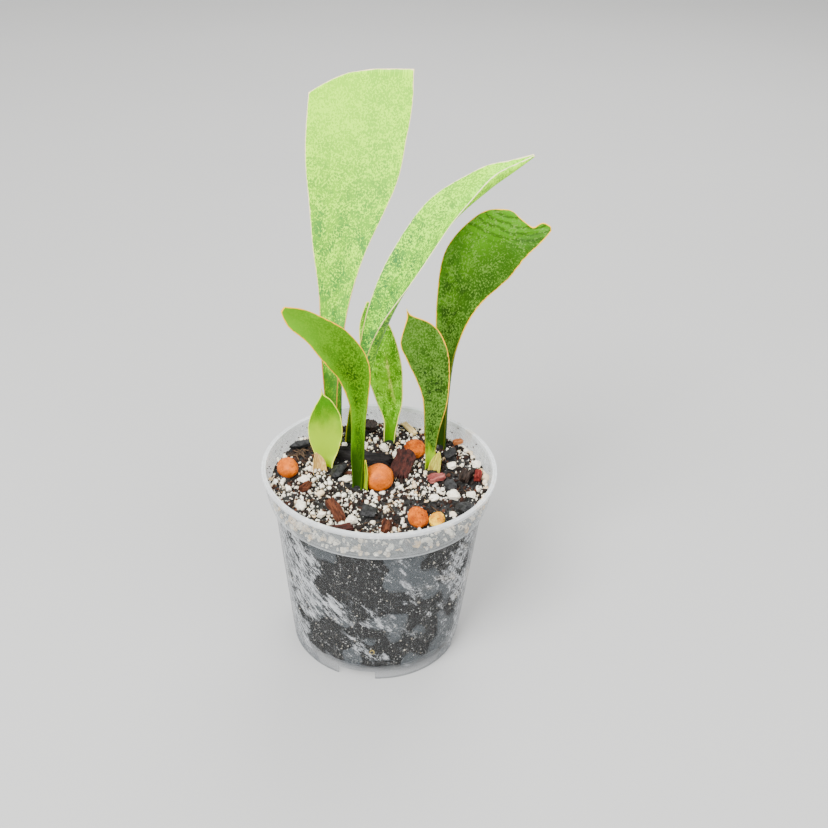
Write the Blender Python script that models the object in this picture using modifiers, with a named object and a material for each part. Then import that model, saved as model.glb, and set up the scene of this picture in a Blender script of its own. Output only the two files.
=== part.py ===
"""Potted snake plant: a clear nursery pot of gritty soil with seven broad leaves.

Units are metres and +Z is up. The pot's axis is the Z axis and the pot stands on Z = 0.
The front, where one foot notch shows, faces -Y. Sizes below are written in millimetres
and multiplied by MM.
"""

import math

import bmesh
import bpy
import numpy as np

MM = 0.001
MERGE = 0.00002

# ---- clearances -------------------------------------------------------------------
GAP = 0.3 * MM
POCKET_GAP = 0.45 * MM

# ---- pot --------------------------------------------------------------------------
POT_HEIGHT = 105.4 * MM
RIM_RADIUS = 60.0 * MM
RIM_BEAD = 0.8 * MM
RIM_BEAD_HEIGHT = 2.2 * MM
LIP_BAND = 17.0 * MM
LIP_LOW_RADIUS = 56.4 * MM
WALL_TOP_RADIUS = 54.2 * MM
FOOT_RADIUS = 45.0 * MM
WALL = 1.0 * MM
RIM_WIDTH = 2.4 * MM
FLOOR_TOP = 7.2 * MM
FLOOR_THICKNESS = 1.2 * MM
CENTRE_FOOT_RADIUS = 8.5 * MM
NOTCH_HEIGHT = 5.4 * MM
NOTCH_WIDTH = 19.5 * MM
NOTCH_COUNT = 4
NOTCH_FIRST_ANGLE = math.radians(-102.5)
DRAIN_RADIUS = 3.5 * MM
DRAIN_RING = 30.0 * MM
DRAIN_COUNT = 6
TURN_STEPS = 72

# ---- soil -------------------------------------------------------------------------
SOIL_BELOW_RIM = 8.4 * MM
SOIL_TOP = POT_HEIGHT - SOIL_BELOW_RIM
# The tables below are written for a soil top at 97 mm; RAISE carries them to another level.
RAISE = SOIL_TOP / MM - 97.0
SOIL_EDGE_DROP = 1.2 * MM

# ---- rhizomes ---------------------------------------------------------------------
RHIZOME_RADIUS = 5.0 * MM
ROOT_RADIUS = 1.2 * MM
LEAF_FOOT = 70.0
RHIZOME_LEVEL = (LEAF_FOOT + RAISE) * MM - RHIZOME_RADIUS - 1.0 * MM

# ---- leaves -----------------------------------------------------------------------
LEAF_CELLS_ACROSS = 6
LEAF_CELLS_ALONG = 22
LEAF_THICKNESS = 2.4 * MM
LEAF_MARGIN_PART = 0.4
SHEATH_THICKNESS = 0.6 * MM
FACE_DIRECTION = (-0.03, -0.85, 0.52)

# Each station of a leaf, from its foot to its tip, in millimetres and degrees:
# (x, y, z of the midrib, half width left, half width right, twist, hollowness)
LEAVES = {
    "tall_leaf": [
        (-24.0, 35.0, LEAF_FOOT, 3.2, 3.2, 0, 0.90),
        (-24.4, 36.0, 98.0, 3.4, 3.4, 0, 0.90),
        (-25.5, 38.0, 120.0, 4.2, 4.2, 0, 0.80),
        (-26.4, 41.0, 151.5, 5.5, 5.8, 0, 0.55),
        (-24.5, 44.0, 178.0, 8.3, 8.0, 0, 0.35),
        (-22.0, 48.0, 207.0, 14.5, 14.5, 0, 0.20),
        (-17.5, 53.0, 235.0, 21.5, 21.5, 0, 0.12),
        (-14.5, 58.0, 261.0, 24.8, 25.0, 0, 0.10),
        (-12.8, 63.0, 286.5, 24.0, 25.0, 0, 0.08),
    ],
    "arching_leaf": [
        (-16.0, 35.5, LEAF_FOOT, 2.6, 2.6, 0, 0.90),
        (-15.6, 34.0, 98.0, 2.6, 2.6, 5, 0.90),
        (-12.1, 31.0, 125.0, 3.1, 3.1, 10, 0.90),
        (-7.2, 28.0, 156.0, 4.3, 5.0, 20, 0.70),
        (-1.1, 26.0, 181.0, 6.2, 8.6, 30, 0.50),
        (9.5, 25.0, 206.0, 9.0, 12.4, 38, 0.35),
        (25.5, 25.0, 231.0, 10.2, 12.0, 38, 0.30),
        (45.0, 25.0, 247.5, 7.8, 7.2, 30, 0.30),
        (58.5, 25.0, 255.5, 3.4, 2.6, 20, 0.30),
        (67.9, 25.0, 261.4, 0.4, 0.4, 10, 0.20),
    ],
    "broad_leaf": [
        (31.5, 33.5, LEAF_FOOT, 2.8, 2.8, 0, 0.90),
        (32.0, 33.0, 99.5, 2.8, 2.8, 0, 0.90),
        (31.3, 32.0, 128.5, 3.7, 3.7, 0, 0.80),
        (32.2, 30.0, 159.0, 5.1, 5.4, 0, 0.60),
        (35.8, 26.0, 183.5, 9.6, 9.6, 0, 0.30),
        (42.5, 22.0, 206.5, 15.0, 16.4, 0, 0.20),
        (53.9, 18.0, 221.5, 14.8, 16.0, 0, 0.20),
        (66.5, 14.0, 228.0, 9.2, 10.4, 0, 0.20),
        (77.2, 12.0, 231.0, 1.6, 2.0, 0, 0.10),
    ],
    "front_leaf": [
        (-10.8, -6.0, LEAF_FOOT, 2.5, 2.5, 0, 0.90),
        (-10.8, -7.0, 98.0, 2.5, 2.5, 0, 0.90),
        (-11.1, -8.0, 116.0, 3.1, 3.1, 0, 0.80),
        (-10.8, -10.0, 135.0, 3.5, 3.4, 0, 0.70),
        (-10.6, -12.0, 150.5, 5.0, 4.4, 0, 0.50),
        (-13.5, -16.0, 170.0, 8.6, 8.0, 0, 0.30),
        (-21.7, -21.0, 184.5, 9.0, 8.4, 0, 0.25),
        (-31.0, -26.0, 195.5, 6.6, 6.4, 0, 0.20),
        (-39.3, -31.0, 203.5, 4.6, 4.3, 0, 0.20),
        (-43.8, -34.0, 208.5, 1.3, 1.3, 0, 0.10),
    ],
    "lime_sprout": [
        (-27.4, 11.5, LEAF_FOOT, 2.4, 2.4, 0, 0.90),
        (-27.4, 11.0, 95.5, 2.4, 2.4, 0, 0.90),
        (-27.9, 11.0, 105.0, 6.0, 6.0, 0, 0.35),
        (-28.2, 11.0, 116.0, 8.7, 8.7, 0, 0.30),
        (-28.0, 11.0, 126.0, 7.9, 7.9, 0, 0.25),
        (-28.5, 11.0, 134.0, 4.5, 4.5, 0, 0.20),
        (-29.5, 11.0, 139.6, 0.4, 0.4, 0, 0.10),
    ],
    "back_leaf": [
        (5.0, 37.5, LEAF_FOOT, 2.7, 2.7, 0, 0.90),
        (5.0, 38.0, 97.0, 2.8, 2.8, 0, 0.80),
        (5.6, 39.0, 109.0, 3.9, 3.8, 0, 0.70),
        (5.0, 40.0, 120.0, 7.2, 6.4, 0, 0.40),
        (2.0, 42.0, 136.0, 9.8, 8.8, 0, 0.30),
        (-1.5, 44.0, 151.0, 10.2, 8.8, 0, 0.25),
        (-5.0, 46.0, 164.0, 7.4, 6.4, 0, 0.20),
        (-8.2, 47.0, 174.0, 0.6, 0.6, 0, 0.10),
    ],
    "short_leaf": [
        (26.5, 11.5, LEAF_FOOT, 2.2, 2.2, 0, 0.90),
        (26.3, 11.0, 98.0, 2.2, 2.2, 0, 0.90),
        (26.1, 11.0, 109.5, 2.7, 2.7, 0, 0.80),
        (26.3, 10.0, 121.5, 3.9, 3.9, 0, 0.60),
        (27.2, 9.0, 139.0, 6.2, 6.1, 0, 0.35),
        (25.2, 8.0, 154.0, 8.6, 8.5, 0, 0.30),
        (21.2, 6.0, 169.0, 10.6, 10.0, 0, 0.25),
        (17.0, 5.0, 179.0, 9.6, 7.8, 0, 0.20),
        (11.8, 3.0, 190.0, 0.6, 0.6, 0, 0.10),
    ],
}

# How much of its last stretch a leaf keeps at each fifth of its width, left to right.
# The tall leaf's top is cut across, and the broad leaf's tip is bitten on one side.
TIP_CUTS = {
    "tall_leaf": (0.935, 0.972, 1.0, 1.008, 1.008, 1.008),
    "broad_leaf": (0.985, 0.985, 1.0, 1.0, 1.0, 1.0),
}

# Dry sheaths at the feet of three shoots, same columns as LEAVES.
SHEATHS = {
    "lime_sheath": [
        (-31.0, 5.8, 97.6, 3.6, 3.6, -20, 0.55),
        (-31.4, 5.6, 101.0, 3.4, 3.4, -20, 0.50),
        (-32.0, 5.4, 104.5, 2.4, 2.4, -20, 0.40),
        (-32.8, 5.2, 108.0, 0.5, 0.5, -20, 0.20),
    ],
    "short_leaf_sheath": [
        (30.2, 7.4, 97.6, 3.0, 3.0, 25, 0.55),
        (30.8, 7.2, 101.0, 3.0, 3.0, 25, 0.50),
        (31.4, 7.0, 105.0, 2.2, 2.2, 25, 0.40),
        (31.8, 6.8, 109.0, 0.5, 0.5, 25, 0.20),
    ],
    "front_leaf_flap": [
        (-6.8, -10.4, 98.4, 1.6, 1.6, 50, 0.40),
        (-6.6, -10.6, 104.0, 1.7, 1.7, 50, 0.40),
        (-6.8, -10.9, 110.0, 1.2, 1.2, 50, 0.30),
        (-7.1, -11.2, 115.0, 0.4, 0.4, 50, 0.20),
    ],
}
SHEATH_CELLS_ALONG = 6

# Underground stems: the path of each, and the roots that leave it as
# (start x, y), (end x, y, z), all in millimetres.
RHIZOMES = {
    "rhizome_left": {
        "path": [(-24.0, 36.5, 0.0), (-27.0, 24.0, -1.0), (-27.4, 12.0, 0.0), (-20.0, 1.0, -1.0), (-10.8, -7.0, 0.0)],
        "roots": [((-26.8, 28.0), (-33.0, 21.0, 22.0)), ((-25.0, 6.0), (-30.0, -14.0, 20.0)), ((-14.0, -5.0), (-6.0, -26.0, 24.0))],
    },
    "rhizome_right": {
        "path": [(-15.0, 35.5, 0.0), (5.0, 37.5, 0.0), (20.0, 36.0, -1.0), (29.4, 30.4, 0.0), (29.5, 19.5, -1.0), (26.5, 11.0, 0.0)],
        "roots": [((-6.0, 37.5), (-8.0, 30.0, 20.0)), ((16.0, 36.8), (14.0, 22.0, 22.0)), ((30.0, 17.0), (36.0, 2.0, 22.0))],
    },
}

# Clay pebbles: (x, y, z of the centre, half sizes along x, y, z, turn about z in degrees)
PEBBLES = {
    "clay_pebble_large": (-0.4, -5.6, 101.0, 7.8, 7.4, 7.0, 10),
    "clay_pebble_left": (-47.2, 4.2, 99.2, 5.4, 6.2, 5.2, 25),
    "clay_pebble_rear": (18.4, 24.4, 99.0, 5.8, 6.0, 5.0, -15),
    "clay_pebble_broken": (19.2, -36.0, 99.0, 5.0, 6.4, 4.6, 20),
    "clay_pebble_pale": (28.4, -37.4, 98.8, 3.8, 4.6, 3.4, -30),
}
BROKEN_PEBBLES = ("clay_pebble_broken", "clay_pebble_pale")

# Bark: (x, y, lift of its underside above the soil, length, width, thickness, turn about z, tilt)
BARK = {
    "bark_black_long": (-7.0, 16.0, 1.2, 22.0, 6.5, 3.6, -16, 3),
    "bark_maroon_tilted": (11.4, 7.0, 1.4, 13.0, 7.0, 2.6, 82, 6),
    "bark_pink": (29.0, -1.2, 0.9, 8.5, 5.0, 2.6, 35, 5),
    "bark_brown_front": (-21.0, -31.5, 1.2, 15.0, 4.4, 2.6, -66, 4),
    "bark_maroon_front": (-19.5, -45.5, 0.7, 12.0, 5.0, 2.0, 24, 2),
    "husk_brown": (4.2, -43.5, 0.5, 7.5, 5.0, 3.2, 80, 2),
    "bark_rear": (-5.6, 47.5, 0.8, 9.5, 6.0, 2.6, 70, 4),
    "chip_red_right": (51.0, 2.0, 0.5, 8.0, 3.6, 2.6, 84, 3),
    "bark_right": (44.6, 0.6, 0.8, 8.5, 4.6, 3.0, 75, 4),
    "paper_chip": (16.0, 47.0, 0.7, 11.5, 3.6, 1.2, -62, 3),
    "bark_left": (-37.0, -11.0, 0.6, 7.0, 4.0, 2.4, 55, 3),
    "chip_tan_rear": (42.0, 34.0, 0.5, 5.0, 3.4, 2.0, 20, 3),
}

# Charcoal lumps and large perlite grains: (x, y, half length, half width, half height, turn)
CHARCOAL = {
    "charcoal_front": (-5.6, -31.4, 4.4, 3.2, 2.4, 15),
    "charcoal_right_front": (42.6, -28.4, 4.0, 4.4, 2.8, 30),
    "charcoal_right_rear": (37.2, 21.4, 3.4, 4.2, 2.8, -20),
    "charcoal_left": (-19.6, 3.4, 3.2, 4.6, 2.4, -15),
    "charcoal_rear_left": (-42.6, 27.6, 5.6, 4.0, 2.4, 40),
    "charcoal_right": (36.0, -6.6, 3.4, 4.0, 2.2, 10),
}
PERLITE = {
    "perlite_01": (-38.0, -4.0, 2.8, 2.4, 2.0, 20),
    "perlite_02": (-16.6, -3.6, 2.2, 2.8, 1.9, 60),
    "perlite_03": (-38.0, -27.0, 2.9, 2.5, 2.0, 10),
    "perlite_04": (-12.6, -37.6, 3.2, 2.6, 2.2, 35),
    "perlite_05": (2.6, 26.4, 2.2, 3.4, 2.0, 20),
    "perlite_06": (37.6, -15.4, 3.0, 3.6, 2.2, -20),
    "perlite_07": (46.4, -14.6, 2.1, 3.0, 2.0, 30),
    "perlite_08": (28.0, -18.4, 2.8, 2.1, 1.9, 0),
    "perlite_09": (37.6, 10.6, 2.8, 2.4, 2.2, 40),
    "perlite_10": (51.0, 12.6, 2.4, 2.8, 2.0, 15),
    "perlite_11": (-28.0, -34.0, 2.2, 2.2, 1.9, 0),
    "perlite_12": (33.4, 39.8, 2.6, 3.2, 2.2, -25),
}
CHIP_SINK_GAP = 0.35 * MM

# ---- materials: base colour, roughness, metallic ------------------------------------
COLOURS = {
    "pot_clear_plastic": ((0.62, 0.66, 0.68, 0.4), 0.25, 0.0),
    "soil_mix": ((0.045, 0.035, 0.028, 1.0), 0.95, 0.0),
    "leaf_pale": ((0.42, 0.62, 0.20, 1.0), 0.45, 0.0),
    "leaf_silver_green": ((0.28, 0.52, 0.20, 1.0), 0.45, 0.0),
    "leaf_deep": ((0.08, 0.22, 0.03, 1.0), 0.40, 0.0),
    "leaf_vivid": ((0.10, 0.30, 0.02, 1.0), 0.40, 0.0),
    "leaf_lime": ((0.45, 0.70, 0.02, 1.0), 0.45, 0.0),
    "leaf_bright": ((0.18, 0.42, 0.02, 1.0), 0.35, 0.0),
    "dry_sheath": ((0.70, 0.50, 0.22, 1.0), 0.80, 0.0),
    "rhizome_flesh": ((0.75, 0.60, 0.35, 1.0), 0.70, 0.0),
    "fired_clay": ((0.52, 0.17, 0.05, 1.0), 0.80, 0.0),
    "pale_clay": ((0.75, 0.50, 0.20, 1.0), 0.85, 0.0),
    "bark": ((0.13, 0.05, 0.035, 1.0), 0.90, 0.0),
    "paper": ((0.80, 0.66, 0.38, 1.0), 0.85, 0.0),
    "charcoal": ((0.04, 0.04, 0.045, 1.0), 0.85, 0.0),
    "perlite": ((0.86, 0.82, 0.70, 1.0), 0.95, 0.0),
}
LEAF_COLOUR = {
    "tall_leaf": "leaf_pale",
    "arching_leaf": "leaf_silver_green",
    "broad_leaf": "leaf_deep",
    "front_leaf": "leaf_vivid",
    "lime_sprout": "leaf_lime",
    "back_leaf": "leaf_bright",
    "short_leaf": "leaf_deep",
}


def clear_file():
    """Remove every object left in the file."""
    for old in list(bpy.data.objects):
        bpy.data.objects.remove(old, do_unlink=True)


def new_collection(name, wire):
    """A collection linked to the scene; cutters are kept in a hidden one."""
    group = bpy.data.collections.new(name)
    bpy.context.scene.collection.children.link(group)
    group.hide_render = wire
    return group


clear_file()
PLANT = new_collection("potted_snake_plant", False)
CUTTERS = new_collection("cutters", True)
MATERIALS = {}


def material(name):
    """The named Principled material, made once."""
    if name in MATERIALS:
        return MATERIALS[name]
    colour, rough, metal = COLOURS[name]
    made = bpy.data.materials.new(name)
    made.use_nodes = True
    shader = made.node_tree.nodes["Principled BSDF"]
    shader.inputs["Base Color"].default_value = (colour[0], colour[1], colour[2], 1.0)
    shader.inputs["Alpha"].default_value = colour[3]
    shader.inputs["Roughness"].default_value = rough
    shader.inputs["Metallic"].default_value = metal
    made.diffuse_color = colour
    MATERIALS[name] = made
    return made


def add_object(name, mesh, group, look=None):
    """Wrap a mesh in an object, in the given collection."""
    made = bpy.data.objects.new(name, mesh)
    group.objects.link(made)
    if look:
        mesh.materials.clear()
        mesh.materials.append(material(look))
    if group is CUTTERS:
        made.hide_render = True
        made.display_type = "WIRE"
    return made


def add_modifier(target, kind, name):
    """Add a modifier and return it."""
    return target.modifiers.new(name, kind)


def baked_mesh(source, name):
    """The source's mesh with its modifiers applied and doubles merged."""
    graph = bpy.context.evaluated_depsgraph_get()
    mesh = bpy.data.meshes.new_from_object(source.evaluated_get(graph))
    mesh.name = name
    work = bmesh.new()
    work.from_mesh(mesh)
    bmesh.ops.remove_doubles(work, verts=work.verts, dist=MERGE)
    bmesh.ops.dissolve_degenerate(work, edges=work.edges, dist=MERGE / 2)
    bmesh.ops.recalc_face_normals(work, faces=work.faces)
    work.to_mesh(mesh)
    work.free()
    return mesh


def turned(name, profile, group, look=None):
    """A solid of revolution about Z from an open profile that starts and ends on the axis."""
    mesh = bpy.data.meshes.new(name)
    points = [(radius, 0.0, height) for radius, height in profile]
    edges = [(i, i + 1) for i in range(len(points) - 1)]
    mesh.from_pydata(points, edges, [])
    made = add_object(name, mesh, group, look)
    screw = add_modifier(made, "SCREW", "turn")
    screw.axis = "Z"
    screw.angle = math.tau
    screw.steps = TURN_STEPS
    screw.render_steps = TURN_STEPS
    screw.use_merge_vertices = True
    screw.merge_threshold = 0.00001
    screw.use_smooth_shade = True
    return made


def subtract(target, cutter, name):
    """Cut one mesh object from another with the exact solver."""
    cut = add_modifier(target, "BOOLEAN", name)
    cut.operation = "DIFFERENCE"
    cut.solver = "EXACT"
    cut.object = cutter
    return cut


def settle(target):
    """Replace an object's mesh by its result and drop its modifiers."""
    bpy.context.view_layer.update()
    looks = [slot.material for slot in target.material_slots]
    mesh = baked_mesh(target, target.name)
    target.modifiers.clear()
    target.data = mesh
    mesh.materials.clear()
    for look in looks:
        mesh.materials.append(look)
    return target


def station(rows, along):
    """One smooth row between the given rows, for along from 0 to 1."""
    spans = len(rows) - 1
    place = min(max(along, 0.0), 1.0) * spans
    first = min(int(place), spans - 1)
    part = place - first
    before = np.array(rows[max(first - 1, 0)], float)
    here = np.array(rows[first], float)
    after = np.array(rows[first + 1], float)
    beyond = np.array(rows[min(first + 2, spans)], float)
    linear = (after - before) * part
    square = (2.0 * before - 5.0 * here + 4.0 * after - beyond) * part ** 2
    cube = (3.0 * here - before - 3.0 * after + beyond) * part ** 3
    row = here + 0.5 * (linear + square + cube)
    row[2] += RAISE
    return row


def frame_at(rows, along):
    """The row, and the unit directions across and out of the blade there."""
    row = station(rows, along)
    low = station(rows, max(along - 0.01, 0.0))
    high = station(rows, min(along + 0.01, 1.0))
    tangent = high[:3] - low[:3]
    tangent /= np.linalg.norm(tangent)
    facing = np.array(FACE_DIRECTION)
    facing = facing - tangent * (facing @ tangent)
    facing /= np.linalg.norm(facing)
    across = np.cross(tangent, facing)
    twist = math.radians(row[5])
    turned_across = across * math.cos(twist) + facing * math.sin(twist)
    turned_facing = facing * math.cos(twist) - across * math.sin(twist)
    return row, turned_across, turned_facing


def blade_point(rows, side, along, widen):
    """A point of the blade's middle sheet: side from -1 to 1 and along from 0 to 1."""
    row, across, facing = frame_at(rows, along)
    half = row[4] if side > 0.0 else row[3]
    half = max(half, 0.35)
    hollow = row[6] * half * 0.8 * (side * side - 0.5)
    return (row[:3] + across * ((half + widen / MM) * side) + facing * hollow) * MM


def blade(name, rows, group, look, thickness, cells_along, tip=None, widen=0.0, top=1.0):
    """A leaf: a flat grid bent along its stations, then given thickness with thin margins."""
    mesh = bpy.data.meshes.new(name)
    work = bmesh.new()
    bmesh.ops.create_grid(work, x_segments=LEAF_CELLS_ACROSS, y_segments=cells_along, size=1.0)
    work.to_mesh(mesh)
    work.free()
    made = add_object(name, mesh, group, look)
    weights = made.vertex_groups.new(name="thickness")
    for vertex in mesh.vertices:
        side = vertex.co.x
        along = (vertex.co.y + 1.0) / 2.0 * top
        weight = LEAF_MARGIN_PART + (1.0 - LEAF_MARGIN_PART) * (1.0 - side * side)
        weight *= 1.0 - 0.35 * along
        weights.add([vertex.index], weight, "REPLACE")
        if tip:
            reach = np.interp(side, np.linspace(-1.0, 1.0, len(tip)), tip)
            along = along * (1.0 + (reach - 1.0) * max(0.0, (along - 0.8) / 0.2))
        vertex.co = blade_point(rows, side, along, widen)
    solid = add_modifier(made, "SOLIDIFY", "thickness")
    solid.thickness = thickness
    solid.offset = 0.0
    solid.vertex_group = "thickness"
    solid.use_even_offset = True
    return made


def shaft_cutter(name, rows):
    """A clearance shaft round a leaf's foot, from the rhizome to above the soil."""
    climb = (SOIL_TOP / MM - RAISE + 5.0 - rows[1][2]) / (rows[2][2] - rows[1][2])
    top = (1.0 + climb) / (len(rows) - 1)
    thickness = LEAF_THICKNESS + 2.0 * POCKET_GAP
    made = blade(name, rows, CUTTERS, None, thickness, 6, widen=POCKET_GAP * 1.6, top=top)
    made.modifiers["thickness"].vertex_group = ""
    lowest = min(vertex.co.z for vertex in made.data.vertices) + 1.0 * MM
    for vertex in made.data.vertices:
        if vertex.co.z < lowest:
            vertex.co.z -= 3.5 * MM
    return settle(made)


def tube(name, points, radius, group, tapers):
    """A round tube through points, as a closed mesh."""
    curve = bpy.data.curves.new(name, "CURVE")
    curve.dimensions = "3D"
    curve.bevel_depth = radius
    curve.bevel_resolution = 2
    curve.use_fill_caps = True
    curve.resolution_u = 4
    line = curve.splines.new("BEZIER")
    line.bezier_points.add(len(points) - 1)
    for knot, place, taper in zip(line.bezier_points, points, tapers):
        knot.co = place
        knot.radius = taper
        knot.handle_left_type = "AUTO"
        knot.handle_right_type = "AUTO"
    made = bpy.data.objects.new(name, curve)
    group.objects.link(made)
    bpy.context.view_layer.update()
    mesh = baked_mesh(made, name)
    bpy.data.objects.remove(made, do_unlink=True)
    return add_object(name, mesh, group)


def stretched(points, extra):
    """The same points with both ends moved outward along their last stretch."""
    places = [np.array(point) for point in points]
    first = places[0] - places[1]
    last = places[-1] - places[-2]
    places[0] = places[0] + first / np.linalg.norm(first) * extra
    places[-1] = places[-1] + last / np.linalg.norm(last) * extra
    return places


def rhizome(name, plan, group, grow, look=None):
    """An underground stem with its roots, joined into one solid; grow widens it for a cutter."""
    path = [(x * MM, y * MM, RHIZOME_LEVEL + z * MM) for x, y, z in plan["path"]]
    tapers = [1.0] * len(path)
    if grow == 0.0:
        tapers[0] = 0.8
        tapers[-1] = 0.8
    stem = tube(name, stretched(path, grow * 2.0), RHIZOME_RADIUS + grow, group, tapers)
    for number, (start, end) in enumerate(plan["roots"]):
        first = (start[0] * MM, start[1] * MM, RHIZOME_LEVEL - 1.0 * MM)
        last = (end[0] * MM, end[1] * MM, end[2] * MM)
        middle = (
            (first[0] + last[0]) / 2.0 + 2.0 * MM,
            (first[1] + last[1]) / 2.0 - 2.0 * MM,
            (first[2] + last[2]) / 2.0,
        )
        points = stretched([first, middle, last], grow * 2.0)
        root = tube(name + "_root_" + str(number), points, ROOT_RADIUS + grow * 1.6, CUTTERS, [1.0, 1.0, 1.0])
        join = add_modifier(stem, "BOOLEAN", "root_" + str(number))
        join.operation = "UNION"
        join.solver = "EXACT"
        join.object = root
    settle(stem)
    if look:
        stem.data.materials.clear()
        stem.data.materials.append(material(look))
    return stem


def lump(name, centre, halves, turn, group, look, detail, roughness, seed):
    """A rounded irregular lump that stays inside its half sizes."""
    mesh = bpy.data.meshes.new(name)
    work = bmesh.new()
    bmesh.ops.create_icosphere(work, subdivisions=detail, radius=1.0)
    draw = np.random.RandomState(seed)
    waves = draw.uniform(-3.0, 3.0, (4, 3))
    shifts = draw.uniform(0.0, math.tau, 4)
    for vertex in work.verts:
        ripple = sum(math.sin(float(w @ np.array(vertex.co)) * 1.3 + s) for w, s in zip(waves, shifts)) / 4.0
        vertex.co *= 1.0 - roughness * (0.5 + 0.5 * ripple)
        vertex.co.x *= halves[0]
        vertex.co.y *= halves[1]
        vertex.co.z *= halves[2]
    work.to_mesh(mesh)
    work.free()
    made = add_object(name, mesh, group, look)
    made.location = centre
    made.rotation_euler = (0.0, 0.0, math.radians(turn))
    return made


def slab(name, spec, seed):
    """A splinter of bark: a box with uneven corners and eased edges."""
    x, y, lift, length, width, thick, turn, tilt = spec
    mesh = bpy.data.meshes.new(name)
    work = bmesh.new()
    bmesh.ops.create_cube(work, size=1.0)
    draw = np.random.RandomState(seed)
    for vertex in work.verts:
        ease = draw.uniform(0.62, 1.0, 3)
        vertex.co.x *= length * MM * ease[0]
        vertex.co.y *= width * MM * ease[1]
        vertex.co.z *= thick * MM * ease[2]
    work.to_mesh(mesh)
    work.free()
    look = "paper" if name == "paper_chip" else "bark"
    made = add_object(name, mesh, PLANT, look)
    made.location = (x * MM, y * MM, SOIL_TOP + (lift + thick / 2.0) * MM + CHIP_SINK_GAP)
    made.rotation_euler = (0.0, math.radians(tilt), math.radians(turn))
    ease_edges = add_modifier(made, "BEVEL", "ease")
    ease_edges.width = thick * MM * 0.12
    ease_edges.segments = 1
    return made


def inner_radius(height):
    """The pot wall's inner radius at a height below the lip band."""
    foot = FOOT_RADIUS - WALL
    top = WALL_TOP_RADIUS - WALL
    return foot + (top - foot) * height / (POT_HEIGHT - LIP_BAND)


def make_pot():
    """The pot: a tapered wall, a wider lip band, a raised floor and a foot ring."""
    lip_low = POT_HEIGHT - LIP_BAND
    rim_inner = RIM_RADIUS - RIM_WIDTH
    band_top = POT_HEIGHT - RIM_BEAD_HEIGHT
    floor_under = FLOOR_TOP - FLOOR_THICKNESS
    cup = CENTRE_FOOT_RADIUS - WALL
    profile = [
        (0.0, FLOOR_THICKNESS),
        (cup, FLOOR_THICKNESS),
        (cup + 0.6 * MM, FLOOR_TOP),
        (inner_radius(FLOOR_TOP) - 1.0 * MM, FLOOR_TOP),
        (inner_radius(FLOOR_TOP), FLOOR_TOP + 1.0 * MM),
        (inner_radius(lip_low * 0.5), lip_low * 0.5),
        (WALL_TOP_RADIUS - WALL, lip_low),
        (LIP_LOW_RADIUS - WALL, lip_low + 1.0 * MM),
        (rim_inner, POT_HEIGHT - 0.3 * MM),
        (rim_inner + 0.3 * MM, POT_HEIGHT),
        (RIM_RADIUS - 0.4 * MM, POT_HEIGHT),
        (RIM_RADIUS, POT_HEIGHT - 0.4 * MM),
        (RIM_RADIUS, band_top + 0.4 * MM),
        (RIM_RADIUS - RIM_BEAD, band_top),
        (LIP_LOW_RADIUS, lip_low + 0.3 * MM),
        (LIP_LOW_RADIUS - 0.3 * MM, lip_low),
        (WALL_TOP_RADIUS, lip_low - 0.4 * MM),
        (inner_radius(lip_low * 0.5) + WALL, lip_low * 0.5),
        (FOOT_RADIUS, 0.3 * MM),
        (FOOT_RADIUS - 0.3 * MM, 0.0),
        (FOOT_RADIUS - WALL, 0.0),
        (inner_radius(floor_under) - 0.2 * MM, floor_under),
        (CENTRE_FOOT_RADIUS + 0.6 * MM, floor_under),
        (CENTRE_FOOT_RADIUS, 0.2 * MM),
        (CENTRE_FOOT_RADIUS - 0.2 * MM, 0.0),
        (0.0, 0.0),
    ]
    pot = turned("pot", profile, PLANT, "pot_clear_plastic")
    for number in range(NOTCH_COUNT):
        angle = NOTCH_FIRST_ANGLE + math.tau * number / NOTCH_COUNT
        mesh = bpy.data.meshes.new("notch")
        work = bmesh.new()
        bmesh.ops.create_cube(work, size=1.0)
        bmesh.ops.scale(work, vec=(8.0 * MM, NOTCH_WIDTH, NOTCH_HEIGHT * 2.0), verts=work.verts)
        work.to_mesh(mesh)
        work.free()
        notch = add_object("notch_" + str(number), mesh, CUTTERS)
        notch.location = (math.cos(angle) * FOOT_RADIUS, math.sin(angle) * FOOT_RADIUS, 0.0)
        notch.rotation_euler = (0.0, 0.0, angle)
        subtract(pot, notch, "notch_" + str(number))
    for number in range(DRAIN_COUNT):
        angle = NOTCH_FIRST_ANGLE + math.tau * (number + 0.5) / DRAIN_COUNT
        mesh = bpy.data.meshes.new("drain")
        work = bmesh.new()
        bmesh.ops.create_cone(
            work, cap_ends=True, segments=14, radius1=DRAIN_RADIUS, radius2=DRAIN_RADIUS, depth=FLOOR_THICKNESS * 3.0
        )
        work.to_mesh(mesh)
        work.free()
        drain = add_object("drain_" + str(number), mesh, CUTTERS)
        height = FLOOR_TOP - FLOOR_THICKNESS / 2.0
        drain.location = (math.cos(angle) * DRAIN_RING, math.sin(angle) * DRAIN_RING, height)
        subtract(pot, drain, "drain_" + str(number))
    return settle(pot)


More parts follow.
